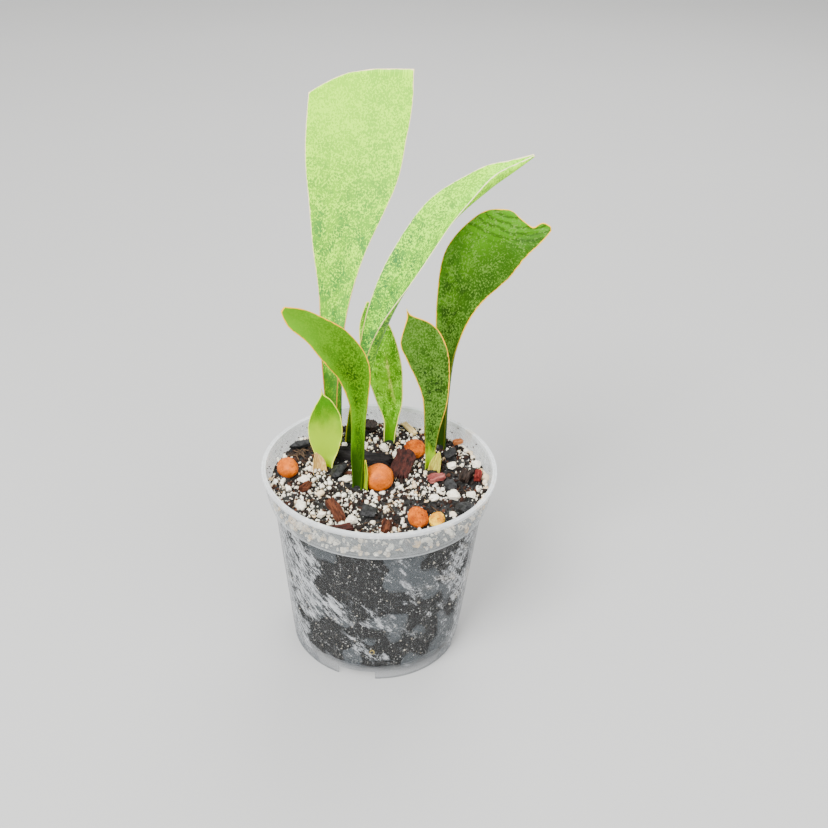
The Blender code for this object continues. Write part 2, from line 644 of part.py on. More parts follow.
def make_soil():
    """The soil block, with pockets for the leaf feet, the rhizomes and the pebbles."""
    lip_low = POT_HEIGHT - LIP_BAND
    rim_inner = RIM_RADIUS - RIM_WIDTH
    low = FLOOR_TOP + GAP
    brim = SOIL_TOP - SOIL_EDGE_DROP
    top_share = (brim - lip_low - 1.0 * MM) / (LIP_BAND - 1.3 * MM)
    edge = LIP_LOW_RADIUS - WALL + (rim_inner - LIP_LOW_RADIUS + WALL) * top_share
    shoulder = [
        (LIP_LOW_RADIUS - WALL - GAP, lip_low + 1.0 * MM + GAP * 1.2),
        (WALL_TOP_RADIUS - WALL - GAP, lip_low + GAP * 1.2),
    ]
    if brim < lip_low + 2.0 * MM:
        edge = min(inner_radius(brim), WALL_TOP_RADIUS - WALL)
        shoulder = []
    profile = [
        (0.0, SOIL_TOP),
        (26.0 * MM, SOIL_TOP),
        (46.0 * MM, SOIL_TOP),
        (edge - 3.5 * MM, SOIL_TOP - SOIL_EDGE_DROP * 0.4),
        (edge - GAP, brim),
        *shoulder,
        (inner_radius(lip_low * 0.5) - GAP, lip_low * 0.5),
        (inner_radius(FLOOR_TOP) - GAP, FLOOR_TOP + 1.0 * MM + GAP),
        (inner_radius(FLOOR_TOP) - 1.0 * MM - GAP, low),
        (CENTRE_FOOT_RADIUS - WALL + 0.6 * MM - GAP, low),
        (CENTRE_FOOT_RADIUS - WALL - GAP * 1.5, FLOOR_THICKNESS + GAP),
        (0.0, FLOOR_THICKNESS + GAP),
    ]
    soil = turned("soil", profile, PLANT, "soil_mix")
    settle(soil)
    for name, rows in LEAVES.items():
        subtract(soil, shaft_cutter(name + "_shaft", rows), name)
        settle(soil)
    for name, plan in RHIZOMES.items():
        cutter = rhizome(name + "_pocket", plan, CUTTERS, POCKET_GAP)
        subtract(soil, cutter, name)
        settle(soil)
    for number, (name, spec) in enumerate(PEBBLES.items()):
        x, y, z, half_x, half_y, half_z, turn = spec
        centre = (x * MM, y * MM, (z + RAISE) * MM)
        halves = tuple(half * MM + POCKET_GAP for half in (half_x, half_y, half_z))
        dimple = lump(name + "_dimple", centre, halves, turn, CUTTERS, None, 2, 0.0, 0)
        subtract(soil, dimple, name)
        settle(soil)
    return soil


def make_pebble(name, spec, seed):
    """A fired clay pebble; a broken one is cut across and shows a flat face."""
    x, y, z, half_x, half_y, half_z, turn = spec
    centre = (x * MM, y * MM, (z + RAISE) * MM)
    halves = (half_x * MM, half_y * MM, half_z * MM)
    look = "pale_clay" if name == "clay_pebble_pale" else "fired_clay"
    made = lump(name, centre, halves, turn, PLANT, look, 2, 0.06, seed)
    if name in BROKEN_PEBBLES:
        work = bmesh.new()
        work.from_mesh(made.data)
        parts = work.verts[:] + work.edges[:] + work.faces[:]
        place = (halves[0] * 0.35, 0.0, halves[2] * 0.35)
        bmesh.ops.bisect_plane(work, geom=parts, plane_co=place, plane_no=(0.7, -0.3, 0.6), clear_outer=True)
        rim = [edge for edge in work.edges if edge.is_boundary]
        bmesh.ops.holes_fill(work, edges=rim, sides=0)
        bmesh.ops.recalc_face_normals(work, faces=work.faces)
        work.to_mesh(made.data)
        work.free()
    for face in made.data.polygons:
        face.use_smooth = len(face.vertices) < 5
    return made


def make_plant():
    """Leaves, sheaths and rhizomes."""
    for name, rows in LEAVES.items():
        made = blade(name, rows, PLANT, LEAF_COLOUR[name], LEAF_THICKNESS, LEAF_CELLS_ALONG, TIP_CUTS.get(name))
        settle(made)
        for face in made.data.polygons:
            face.use_smooth = True
    for name, rows in SHEATHS.items():
        look = "leaf_vivid" if name == "front_leaf_flap" else "dry_sheath"
        made = blade(name, rows, PLANT, look, SHEATH_THICKNESS, SHEATH_CELLS_ALONG)
        made.modifiers["thickness"].vertex_group = ""
        settle(made)
        for face in made.data.polygons:
            face.use_smooth = True
    for name, plan in RHIZOMES.items():
        made = rhizome(name, plan, PLANT, 0.0, "rhizome_flesh")
        for face in made.data.polygons:
            face.use_smooth = True


def make_toppings():
    """Pebbles, bark, charcoal and the large perlite grains on the soil."""
    for number, (name, spec) in enumerate(PEBBLES.items()):
        make_pebble(name, spec, 11 + number)
    for number, (name, spec) in enumerate(BARK.items()):
        slab(name, spec, 31 + number)
    for number, (name, spec) in enumerate(CHARCOAL.items()):
        x, y, half_x, half_y, half_z, turn = spec
        centre = (x * MM, y * MM, SOIL_TOP + half_z * MM + CHIP_SINK_GAP)
        lump(name, centre, (half_x * MM, half_y * MM, half_z * MM), turn, PLANT, "charcoal", 1, 0.25, 61 + number)
    for number, (name, spec) in enumerate(PERLITE.items()):
        x, y, half_x, half_y, half_z, turn = spec
        centre = (x * MM, y * MM, SOIL_TOP + half_z * MM + CHIP_SINK_GAP)
        lump(name, centre, (half_x * MM, half_y * MM, half_z * MM), turn, PLANT, "perlite", 1, 0.22, 81 + number)


make_pot()
make_soil()
make_plant()
make_toppings()
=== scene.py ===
"""Looks of the potted snake plant: leaves, soil, toppings and the clear pot, laid out as an add-on."""

import math

import bpy
import numpy as np
from mathutils import Matrix, Vector, noise


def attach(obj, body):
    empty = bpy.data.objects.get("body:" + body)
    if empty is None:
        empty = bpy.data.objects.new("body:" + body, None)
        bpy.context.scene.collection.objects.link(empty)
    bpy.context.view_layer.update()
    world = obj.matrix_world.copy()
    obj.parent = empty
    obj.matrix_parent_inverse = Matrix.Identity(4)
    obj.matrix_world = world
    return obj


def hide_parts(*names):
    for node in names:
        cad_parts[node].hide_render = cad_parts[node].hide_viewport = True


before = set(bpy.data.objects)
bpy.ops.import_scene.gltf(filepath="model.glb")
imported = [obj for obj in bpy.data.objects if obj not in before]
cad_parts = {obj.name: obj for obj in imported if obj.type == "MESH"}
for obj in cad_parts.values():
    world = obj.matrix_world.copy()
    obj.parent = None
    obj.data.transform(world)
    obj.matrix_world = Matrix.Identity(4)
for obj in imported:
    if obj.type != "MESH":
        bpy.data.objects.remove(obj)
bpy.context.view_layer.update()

bl_info = {
    "name": "Potted Snake Plant Looks",
    "version": (1, 0, 0),
    "blender": (4, 5, 0),
    "location": "3D View > Sidebar > Snake Plant",
    "description": "Builds the leaves, soil, toppings and clear pot of a potted snake plant",
    "category": "Object",
}

MM = 0.001
FULL_SIZE = (1.0, 1.0, 1.0)
NO_TURN = (0.0, 0.0, 0.0)

# ---- shared sizes, in millimetres ----------------------------------------------------
POT_HEIGHT = 105.4
RIM_RADIUS = 60.0
RIM_WIDTH = 2.4
RIM_BEAD = 0.8
RIM_BEAD_HEIGHT = 2.2
LIP_BAND = 17.0
LIP_LOW_RADIUS = 56.4
WALL_TOP_RADIUS = 54.2
FOOT_RADIUS = 45.0
WALL = 1.0
FLOOR_TOP = 7.2
FLOOR_THICKNESS = 1.2
CENTRE_FOOT_RADIUS = 8.5
NOTCH_HEIGHT = 5.4
NOTCH_WIDTH = 19.5
NOTCH_COUNT = 4
NOTCH_FIRST_ANGLE = math.radians(-102.5)
DRAIN_RADIUS = 3.5
DRAIN_RING = 30.0
DRAIN_COUNT = 6
# Where the wall steps out to the lip band.
SHELF = POT_HEIGHT - LIP_BAND
WALL_HEIGHTS = (18.0, 30.0, 42.0, 54.0, 66.0, 78.0)
NOTCH_DEPTH = 8.0
SOIL_TOP = 97.0
SOIL_REACH = 56.4
# The way that the leaves' faces look.
FACE_DIRECTION = (-0.03, -0.85, 0.52)

# The stage, in metres and degrees.
FLOOR_SIZE = 8.0
FLOOR_DROP = 0.0002
LIGHT_AIM = 0.12
VIEW_PLACE = (0.0, -0.4873, 0.4334)
VIEW_DIRECTION = (0.0289, 0.8531, -0.5210)
VIEW_ROLL = 2.29

# Where the creases of a leaf are centred and how far apart they lie, in millimetres.
CREASE_ACROSS = 20.0
CREASE_BELOW_TIP = 7.0
CREASE_SPACING = 3.3

# Each station of a leaf, from its foot to its tip, in millimetres and degrees: x, y, z of
# the midrib, half width left and right, twist, and how far each half curls forward.
LEAVES = {
    "tall_leaf": [
        (-24.0, 35.0, 70.0, 3.2, 3.2, 0, 100, 150),
        (-24.4, 36.0, 98.0, 3.4, 3.4, 0, 95, 150),
        (-25.5, 38.0, 120.0, 4.2, 4.2, 0, 75, 150),
        (-26.4, 41.0, 151.5, 5.5, 5.8, 0, 50, 112),
        (-24.5, 44.0, 178.0, 8.3, 8.0, 0, 32, 48),
        (-22.0, 48.0, 207.0, 14.5, 14.5, 0, 20, 24),
        (-17.5, 53.0, 235.0, 21.5, 21.5, 0, 14, 16),
        (-14.5, 58.0, 261.0, 24.8, 25.0, 0, 11, 12),
        (-12.8, 63.0, 286.5, 24.0, 25.0, 0, 9, 10),
    ],
    "arching_leaf": [
        (-16.0, 35.5, 70.0, 2.6, 2.6, 0, 110, 150),
        (-15.6, 34.0, 98.0, 2.6, 2.6, 5, 110, 150),
        (-12.1, 31.0, 125.0, 3.1, 3.1, 10, 95, 150),
        (-7.2, 28.0, 156.0, 4.3, 5.0, 14, 68, 148),
        (-1.1, 26.0, 181.0, 6.2, 8.6, 20, 42, 112),
        (9.5, 25.0, 206.0, 9.0, 12.4, 30, 25, 52),
        (25.5, 25.0, 231.0, 10.2, 12.0, 34, 18, 42),
        (45.0, 25.0, 247.5, 7.8, 7.2, 28, 18, 104),
        (58.5, 25.0, 255.5, 3.4, 2.6, 15, 40, 155),
        (67.9, 25.0, 261.4, 0.4, 0.4, 5, 60, 160),
    ],
    "broad_leaf": [
        (31.5, 33.5, 70.0, 2.8, 2.8, 0, 90, 130),
        (32.0, 33.0, 99.5, 2.8, 2.8, 0, 90, 130),
        (31.3, 32.0, 128.5, 3.7, 3.7, 0, 75, 125),
        (32.2, 30.0, 159.0, 5.1, 5.4, 0, 48, 108),
        (35.8, 26.0, 183.5, 9.6, 9.6, 0, 25, 46),
        (42.5, 22.0, 206.5, 15.0, 16.4, 0, 16, 20),
        (53.0, 18.2, 221.0, 15.6, 16.2, 0, 14, 18),
        (60.5, 16.0, 225.4, 12.6, 13.6, 0, 14, 20),
        (65.4, 14.8, 227.4, 6.0, 11.0, 0, 22, 22),
        (69.4, 13.7, 228.7, 1.9, 8.0, 0, 40, 24),
        (73.8, 12.8, 230.1, 3.0, 4.6, 0, 50, 26),
        (77.0, 12.0, 231.0, 1.0, 1.2, 0, 50, 30),
    ],
    "front_leaf": [
        (-10.8, -6.0, 70.0, 2.5, 2.5, 0, 100, 150),
        (-10.8, -7.0, 98.0, 2.5, 2.5, 0, 90, 140),
        (-11.1, -8.0, 116.0, 3.1, 3.1, 0, 72, 110),
        (-10.8, -10.0, 135.0, 3.5, 3.4, 0, 54, 78),
        (-10.6, -12.0, 150.5, 5.0, 4.4, 0, 38, 48),
        (-13.5, -16.0, 170.0, 8.6, 8.0, 0, 22, 24),
        (-21.7, -21.0, 184.5, 9.0, 8.4, 0, 18, 18),
        (-31.0, -26.0, 195.5, 6.8, 6.4, 0, 18, 15),
        (-39.3, -31.0, 203.5, 5.0, 4.4, 0, 20, 15),
        (-43.8, -34.0, 208.5, 1.5, 1.5, 0, 20, 15),
    ],
    "lime_sprout": [
        (-27.4, 11.5, 70.0, 2.4, 2.4, 0, 100, 100),
        (-27.4, 11.0, 95.5, 2.6, 2.6, 0, 88, 88),
        (-27.9, 11.0, 105.0, 6.0, 6.0, 0, 36, 36),
        (-28.2, 11.0, 116.0, 8.7, 8.7, 0, 25, 25),
        (-28.0, 11.0, 126.0, 7.9, 7.9, 0, 20, 20),
        (-28.5, 11.0, 134.0, 4.5, 4.5, 0, 20, 20),
        (-29.5, 11.0, 139.0, 0.9, 0.9, 0, 20, 20),
        (-30.0, 11.0, 142.6, 0.2, 0.2, 0, 20, 20),
    ],
    "back_leaf": [
        (5.0, 37.5, 70.0, 2.7, 2.7, 0, 90, 110),
        (5.0, 38.0, 97.0, 2.8, 2.8, 0, 90, 110),
        (5.6, 39.0, 109.0, 3.9, 3.8, 0, 80, 84),
        (5.0, 40.0, 120.0, 7.2, 6.4, 0, 62, 48),
        (2.0, 42.0, 136.0, 9.8, 8.8, 0, 32, 30),
        (-1.5, 44.0, 151.0, 10.2, 8.8, 0, 24, 22),
        (-5.0, 46.0, 164.0, 7.4, 6.4, 0, 20, 20),
        (-8.2, 47.0, 174.0, 0.6, 0.6, 0, 20, 20),
    ],
    "short_leaf": [
        (26.5, 11.5, 70.0, 2.2, 2.2, 0, 100, 100),
        (26.3, 11.0, 98.0, 2.3, 2.3, 0, 88, 88),
        (26.1, 11.0, 109.5, 2.7, 2.7, 0, 68, 76),
        (26.3, 10.0, 121.5, 3.9, 3.9, 0, 48, 56),
        (27.2, 9.0, 139.0, 6.2, 6.1, 0, 32, 36),
        (25.2, 8.0, 154.0, 8.6, 8.5, 0, 26, 26),
        (21.2, 6.0, 169.0, 10.6, 10.0, 0, 24, 20),
        (17.0, 5.0, 179.0, 9.8, 7.8, 0, 22, 18),
        (12.6, 3.4, 187.8, 1.5, 1.4, 0, 18, 18),
        (11.2, 3.0, 192.0, 0.2, 0.2, 0, 18, 18),
    ],
}
# Stations of the dry skins, in the same order.
SHEATHS = {
    "lime_sheath": [
        (-31.0, 5.8, 96.0, 3.8, 3.8, -20, 75, 60),
        (-31.4, 5.6, 101.0, 3.5, 3.5, -20, 65, 50),
        (-32.0, 5.4, 104.5, 2.5, 2.5, -20, 50, 40),
        (-32.8, 5.2, 108.0, 0.5, 0.5, -20, 30, 20),
    ],
    "short_leaf_sheath": [
        (28.6, 8.2, 95.0, 3.4, 3.4, 22, 70, 85),
        (29.2, 8.0, 100.0, 3.2, 3.2, 22, 60, 75),
        (29.9, 7.8, 104.0, 2.4, 2.4, 22, 45, 60),
        (30.6, 7.6, 108.4, 0.5, 0.5, 22, 25, 35),
    ],
    "front_leaf_flap": [
        (-6.8, -10.4, 96.6, 1.7, 1.7, 50, 30, 40),
        (-6.6, -10.6, 104.0, 1.8, 1.8, 50, 30, 40),
        (-6.8, -10.9, 110.0, 1.3, 1.3, 50, 25, 30),
        (-7.1, -11.2, 115.0, 0.4, 0.4, 50, 20, 20),
    ],
}
# How far the end of a cut leaf reaches, from its left side to its right.
TIP_CUTS = {"tall_leaf": (0.937, 0.968, 0.998, 1.010, 1.015, 1.019)}

# Leaf colours are display values from 0 to 255. Of the rest, cover is how densely the flecks lie
# low and high on the leaf, the foot colour fades in from foot_end down to foot_start of the
# length, the margin shows fully above edge_from, and needle is the dry tip's length in mm.
# One value darkens the blade's right side as painted shade, one lightens it near the margin
# as a painted highlight, and one paints a cream highlight streak down the blade.
PLAIN_STYLE = {
    "painted_highlight": 0.0, "streak": (), "shade": 0.0, "creases": 0.0, "needle": 0.0, "edge_from": 0.2,
    "smoothing": 0.035,
}
# The broad, front and short leaves have darker greens than the others, partly their own deeper colour and
# partly painted shade for leaves that lean into shade.
STYLES = {
    # The whitish margins of the tall and arching leaves are partly their own pale edge and partly a painted
    # highlight.
    "tall_leaf": {
        "dark": (76, 138, 53), "light": (112, 180, 31), "fleck": (184, 255, 0), "foot": (58, 102, 26),
        "tip": (156, 230, 0), "margin": (252, 236, 170), "margin_low": (190, 120, 50), "back": (48, 92, 16),
        "flecks": 0.85, "ripple": 1.0, "shade": 0.25, "cover": (0.36, 0.66), "foot_start": 0.2,
        "foot_end": 0.42, "edge_low": 0.6,
    },
    "arching_leaf": {
        "dark": (65, 120, 57), "light": (98, 164, 44), "fleck": (178, 255, 4), "foot": (62, 97, 26),
        "tip": (137, 209, 4), "margin": (244, 232, 180), "margin_low": (176, 160, 40), "back": (46, 96, 6),
        "flecks": 0.85, "ripple": 0.8, "cover": (0.36, 0.7), "foot_start": 0.15, "foot_end": 0.32,
        "edge_from": 0.25, "edge_low": 0.6,
    },
    # The broad leaf's pale silvery outside is partly its own colour and partly a painted highlight along its
    # outer side.
    "broad_leaf": {
        "dark": (32, 60, 8), "light": (58, 100, 6), "fleck": (94, 133, 47), "foot": (37, 61, 14),
        "tip": (72, 134, 0), "margin": (244, 184, 20), "margin_low": (150, 130, 30), "back": (90, 130, 76),
        "flecks": 0.75, "ripple": 0.9, "painted_highlight": 0.3, "shade": 0.75, "creases": 0.07, "smoothing": 0.09,
        "cover": (0.66, 0.22), "foot_start": 0.2, "foot_end": 0.4, "edge_from": 0.42, "edge_low": 0.2,
    },
    "front_leaf": {
        "dark": (34, 68, 2), "light": (56, 104, 0), "fleck": (98, 150, 6), "foot": (36, 64, 8),
        "tip": (98, 162, 0), "margin": (240, 172, 10), "margin_low": (96, 120, 16), "back": (56, 96, 14),
        "flecks": 0.6, "ripple": 1.6, "painted_highlight": 0.6, "shade": 0.45, "cover": (0.5, 0.52), "foot_start": 0.25,
        "foot_end": 0.45, "edge_from": 0.45, "edge_low": 0.25,
    },
    "lime_sprout": {
        "dark": (56, 116, 0), "light": (74, 138, 0), "fleck": (109, 162, 0), "foot": (156, 194, 0),
        "tip": (60, 124, 0), "margin": (214, 226, 60), "margin_low": (236, 240, 90), "back": (120, 170, 10),
        "flecks": 0.3, "ripple": 0.4, "cover": (0.3, 0.3), "foot_start": 0.6, "foot_end": 0.87,
        "edge_low": 1.0, "needle": 2.2,
    },
    "back_leaf": {
        "dark": (64, 122, 14), "light": (126, 199, 6), "fleck": (186, 250, 60), "foot": (80, 136, 8),
        "tip": (70, 126, 20), "margin": (230, 216, 110), "margin_low": (240, 230, 120),
        "back": (60, 110, 20), "flecks": 0.6, "ripple": 0.5, "painted_highlight": 0.2, "streak": (1.6, 0.42, 0.74),
        "shade": 0.5, "cover": (0.35, 0.35), "foot_start": 0.3, "foot_end": 0.42, "edge_low": 0.8,
    },
    "short_leaf": {
        "dark": (26, 48, 8), "light": (50, 86, 12), "fleck": (88, 127, 44), "foot": (138, 180, 0),
        "tip": (62, 106, 12), "margin": (240, 176, 30), "margin_low": (170, 140, 40), "back": (60, 100, 34),
        "flecks": 0.85, "ripple": 1.0, "painted_highlight": 0.3, "shade": 0.3, "cover": (0.62, 0.6), "foot_start": 0.27,
        "foot_end": 0.33, "edge_from": 0.4, "edge_low": 0.3, "needle": 1.4,
    },
}
FLAP_STYLE = {
    "foot": (150, 170, 10), "margin": (220, 200, 40), "back": (130, 160, 20),
    "foot_end": 0.9, "foot_start": 0.3, "edge_from": 0.1,
}

# Clay pebbles: x, y, z of the centre, half sizes along x, y and z, turn, and how much is
# broken off.
PEBBLES = {
    "clay_pebble_large": (-0.4, -5.6, 101.0, 7.8, 7.4, 7.0, 10, 0.0),
    "clay_pebble_left": (-47.2, 4.2, 99.2, 5.4, 6.2, 5.2, 25, 0.0),
    "clay_pebble_rear": (18.4, 24.4, 99.0, 5.8, 6.0, 5.0, -15, 0.25),
    "clay_pebble_broken": (19.2, -36.0, 99.0, 5.0, 6.4, 4.6, 20, 0.5),
    "clay_pebble_pale": (28.4, -37.4, 98.8, 3.8, 4.6, 3.4, -30, 0.45),
}
# Bark: x, y, lift, length, width, thickness, turn, tilt and colours.
BARK = {
    "bark_black_long": (-7.0, 16.0, 1.2, 22.0, 6.5, 3.6, -16, 3, "black"),
    "bark_maroon_tilted": (11.4, 7.0, 1.4, 13.0, 7.0, 2.6, 82, 6, "maroon"),
    "bark_pink": (29.0, -1.2, 0.9, 8.5, 5.0, 2.6, 35, 5, "pink"),
    "bark_brown_front": (-21.0, -31.5, 1.2, 15.0, 4.4, 2.6, -66, 4, "brown"),
    "bark_maroon_front": (-19.5, -45.5, 0.7, 12.0, 5.0, 2.0, 24, 2, "maroon"),
    "husk_brown": (4.2, -43.5, 0.5, 7.5, 5.0, 3.2, 80, 2, "brown"),
    "bark_rear": (-5.6, 47.5, 0.8, 9.5, 6.0, 2.6, 70, 4, "dark"),
    "chip_red_right": (51.0, 2.0, 0.5, 8.0, 3.6, 2.6, 84, 3, "red"),
    "bark_right": (44.6, 0.6, 0.8, 8.5, 4.6, 3.0, 75, 4, "dark"),
    "paper_chip": (16.0, 47.0, 0.7, 11.5, 3.6, 1.2, -62, 3, "paper"),
    "bark_left": (-37.0, -11.0, 0.6, 7.0, 4.0, 2.4, 55, 3, "brown"),
    "chip_tan_rear": (42.0, 34.0, 0.5, 5.0, 3.4, 2.0, 20, 3, "tan"),
}
# How the visible bark differs from its plain block: slide along x, longer, wider, more tilt.
BARK_LOOKS = {
    "bark_black_long": (-3.0, 1.35, 1.25, 0),
    "bark_maroon_tilted": (0.8, 1.2, 1.5, -34),
    "bark_brown_front": (0.0, 1.05, 1.2, 0),
    "bark_maroon_front": (0.0, 1.15, 1.1, 0),
    "bark_rear": (0.0, 1.15, 1.2, 6),
    "bark_right": (0.0, 1.2, 1.2, 4),
}
# Bark colours: low, high and pits.
BARK_TONES = {
    "black": ((12, 11, 11), (36, 32, 31), (4, 4, 4)),
    "maroon": ((26, 10, 8), (74, 34, 27), (12, 5, 4)),
    "pink": ((110, 46, 42), (170, 100, 92), (56, 22, 20)),
    "brown": ((50, 22, 12), (112, 62, 38), (22, 10, 6)),
    "dark": ((28, 20, 16), (64, 50, 42), (10, 8, 6)),
    "red": ((92, 22, 18), (150, 56, 46), (40, 10, 8)),
    "paper": ((190, 160, 100), (232, 212, 156), (110, 72, 32)),
    "tan": ((150, 78, 38), (204, 130, 74), (80, 38, 16)),
}
# Charcoal and large perlite: x, y, half sizes along x, y and z, and turn.
CHARCOAL = {
    "charcoal_front": (-5.0, -31.4, 5.4, 4.0, 2.6, 15),
    "charcoal_right_front": (42.2, -28.0, 5.0, 5.0, 3.4, 30),
    "charcoal_right_rear": (37.2, 21.4, 3.4, 4.2, 2.8, -20),
    "charcoal_left": (-21.4, 3.4, 4.2, 5.4, 3.0, -15),
    "charcoal_rear_left": (-42.6, 27.6, 5.6, 4.0, 2.4, 40),
    "charcoal_right": (36.0, -6.6, 3.4, 4.0, 2.2, 10),
}
PERLITE = {
    "perlite_01": (-38.0, -4.0, 2.8, 2.4, 2.0, 20),
    "perlite_02": (-16.6, -3.6, 2.2, 2.8, 1.9, 60),
    "perlite_03": (-38.0, -27.0, 2.9, 2.5, 2.0, 10),
    "perlite_04": (-12.6, -37.6, 3.2, 2.6, 2.2, 35),
    "perlite_05": (2.6, 26.4, 2.2, 3.4, 2.0, 20),
    "perlite_06": (37.6, -15.4, 3.0, 3.6, 2.2, -20),
    "perlite_07": (46.4, -14.6, 2.1, 3.0, 2.0, 30),
    "perlite_08": (28.0, -18.4, 2.8, 2.1, 1.9, 0),
    "perlite_09": (37.6, 10.6, 2.8, 2.4, 2.2, 40),
    "perlite_10": (51.0, 12.6, 2.4, 2.8, 2.0, 15),
    "perlite_11": (-28.0, -34.0, 2.2, 2.2, 1.9, 0),
    "perlite_12": (33.4, 39.8, 2.6, 3.2, 2.2, -25),
}

# Grain materials: low and high colour, pits, grain size, roughness, relief and the tint's colour.
GRAIN_LOOKS = {
    "perlite": ((232, 225, 204), (254, 251, 240), (150, 134, 104), 620.0, 0.9, 0.6, (206, 160, 84)),
    "crumbs": ((14, 12, 11), (44, 35, 30), (6, 5, 5), 700.0, 0.8, 0.8, (86, 50, 34)),
    "coir": ((34, 26, 20), (84, 66, 50), (16, 12, 10), 700.0, 0.85, 0.4, (104, 82, 60)),
    "dusty_perlite": ((120, 116, 104), (214, 208, 192), (60, 54, 46), 620.0, 0.9, 0.4, (60, 50, 42)),
    "charcoal_grey": ((16, 16, 16), (54, 54, 55), (6, 6, 6), 420.0, 0.6, 0.9),
    "root_skin": ((104, 88, 48), (186, 166, 104), (80, 60, 26), 900.0, 0.6, 0.3),
}
# Radius over which a perlite grain counts as coarse, and the height of the root curl, in mm.
COARSE_GRAIN = 1.35
CURL_HEIGHT = 18.5

# Places where the mix shows dark between the perlite: x, y and radius.
DARK_SPOTS = [
    (-44.0, 28.0, 11.0), (-22.0, 19.0, 9.0), (17.0, -22.0, 6.0), (40.0, -25.0, 8.0),
    (36.0, 9.0, 7.0), (-12.0, 48.0, 8.0), (0.0, -34.0, 5.0), (-33.0, -42.0, 5.0),
    (46.0, -4.0, 6.0), (8.0, 14.0, 5.0), (-9.0, -22.0, 4.0), (28.0, -26.0, 4.0),
]


# ---- node helpers ------------------------------------------------------------------


def tone(colour):
    """A linear colour from display values of 0 to 255."""
    linear = []
    for part in colour:
        share = part / 255.0
        linear.append(share / 12.92 if share <= 0.04045 else ((share + 0.055) / 1.055) ** 2.4)
    return (linear[0], linear[1], linear[2], 1.0)


class Value:
    """A node's output, so that sums of them read as sums."""

    def __init__(self, tree, socket):
        self.tree = tree
        self.socket = socket

    def __add__(self, other):
        return maths("ADD", self, other)

    def __sub__(self, other):
        return maths("SUBTRACT", self, other)

    def __rsub__(self, other):
        return maths("SUBTRACT", other, self)

    def __mul__(self, other):
        return maths("MULTIPLY", self, other)

    def __truediv__(self, other):
        return maths("DIVIDE", self, other)

    def __pow__(self, other):
        return maths("POWER", self, other)

    def __abs__(self):
        return maths("ABSOLUTE", self)


def add_node(tree, kind, inputs=None, **settings):
    """Add a node, set its properties, and set or link its inputs."""
    made = tree.nodes.new(kind)
    for key, value in settings.items():
        setattr(made, key, value)
    for key, value in (inputs or {}).items():
        if isinstance(value, Value):
            tree.links.new(value.socket, made.inputs[key])
        else:
            made.inputs[key].default_value = value
    return made


def shaded(colour, share):
    """Display values made darker or lighter."""
    return tuple(share * part for part in colour)


def put(kind, inputs, output=0, **settings):
    """Add a node to the tree of its linked inputs; returns one of its outputs."""
    tree = next(value.tree for value in inputs.values() if isinstance(value, Value))
    return Value(tree, add_node(tree, kind, inputs, **settings).outputs[output])


def blend(factor, first, second):
    """Mix two colours, each a node's output or display values."""
    inputs = {0: factor}
    for key, colour in ((6, first), (7, second)):
        inputs[key] = colour if isinstance(colour, Value) else tone(colour)
    return put("ShaderNodeMix", inputs, 2, data_type="RGBA")


def maths(kind, first, second=0.5, clamp=False):
    """One maths node on two values."""
    return put("ShaderNodeMath", {0: first, 1: second}, operation=kind, use_clamp=clamp)


def larger(first, second):
    """The larger of two values."""
    return maths("MAXIMUM", first, second)


def spread(value, low, high, to_low=0.0, to_high=1.0, smooth=True):
    """Map a value from one range to another, clamped."""
    kind = "SMOOTHSTEP" if smooth else "LINEAR"
    inputs = {"Value": value, "From Min": low, "From Max": high, "To Min": to_low, "To Max": to_high}
    return put("ShaderNodeMapRange", inputs, interpolation_type=kind)


def noise_value(vector, scale, detail=3.0, rough=0.5, distort=0.0):
    """A noise texture's value."""
    inputs = {"Vector": vector, "Scale": scale, "Detail": detail, "Roughness": rough, "Distortion": distort}
    return put("ShaderNodeTexNoise", inputs)


def mapped(vector, scale=FULL_SIZE, turn=NO_TURN, shift=NO_TURN):
    """A place that is stretched, turned and shifted."""
    inputs = {"Vector": vector, "Scale": scale, "Rotation": turn, "Location": shift}
    return put("ShaderNodeMapping", inputs)


def streaky(vector, scale, detail=3.0, rough=0.5, distort=0.0, turn=NO_TURN, shift=NO_TURN):
    """Noise over a place that is stretched, turned and shifted first."""
    return noise_value(mapped(vector, scale, turn, shift), 1.0, detail, rough, distort)


def cell_distance(vector, scale):
    """Distance to the nearest point of a cell pattern."""
    return put("ShaderNodeTexVoronoi", {"Vector": vector, "Scale": scale}, "Distance")


def added(first, second):
    """The sum of two vectors."""
    return put("ShaderNodeVectorMath", {0: first, 1: second}, operation="ADD")


def axes(vector):
    """The three parts of a vector."""
    made = add_node(vector.tree, "ShaderNodeSeparateXYZ", {0: vector})
    return [Value(vector.tree, socket) for socket in made.outputs]


def object_position(tree):
    """Object coordinates, in metres."""
    return Value(tree, add_node(tree, "ShaderNodeTexCoord").outputs["Object"])


def own_attribute(tree, name, output):
    """A value that the piece's mesh keeps for each point."""
    return Value(tree, add_node(tree, "ShaderNodeAttribute", attribute_name=name).outputs[output])


def facing_away(tree):
    """How far the surface turns away from the viewer, from 0 to 1."""
    return Value(tree, add_node(tree, "ShaderNodeLayerWeight", {"Blend": 0.5}).outputs["Facing"])


def new_group(name, inputs):
    """An empty node group with the named inputs; returns its tree and their values."""
    tree = bpy.data.node_groups.new(name, "ShaderNodeTree")
    for label, kind in inputs.items():
        tree.interface.new_socket(name=label, in_out="INPUT", socket_type="NodeSocket" + kind)
    start = tree.nodes.new("NodeGroupInput")
    return tree, {label: Value(tree, start.outputs[label]) for label in inputs}


def close_group(tree, results):
    """Give a group one named output for each value."""
    for label in results:
        tree.interface.new_socket(name=label, in_out="OUTPUT", socket_type="NodeSocketFloat")
    end = tree.nodes.new("NodeGroupOutput")
    for label, value in results.items():
        tree.links.new(value.socket, end.inputs[label])


def use_group(tree, name, inputs):
    """Place a node group with its inputs set or linked; returns its values by name."""
    made = add_node(tree, "ShaderNodeGroup", inputs, node_tree=bpy.data.node_groups[name])
    return {socket.name: Value(tree, socket) for socket in made.outputs}


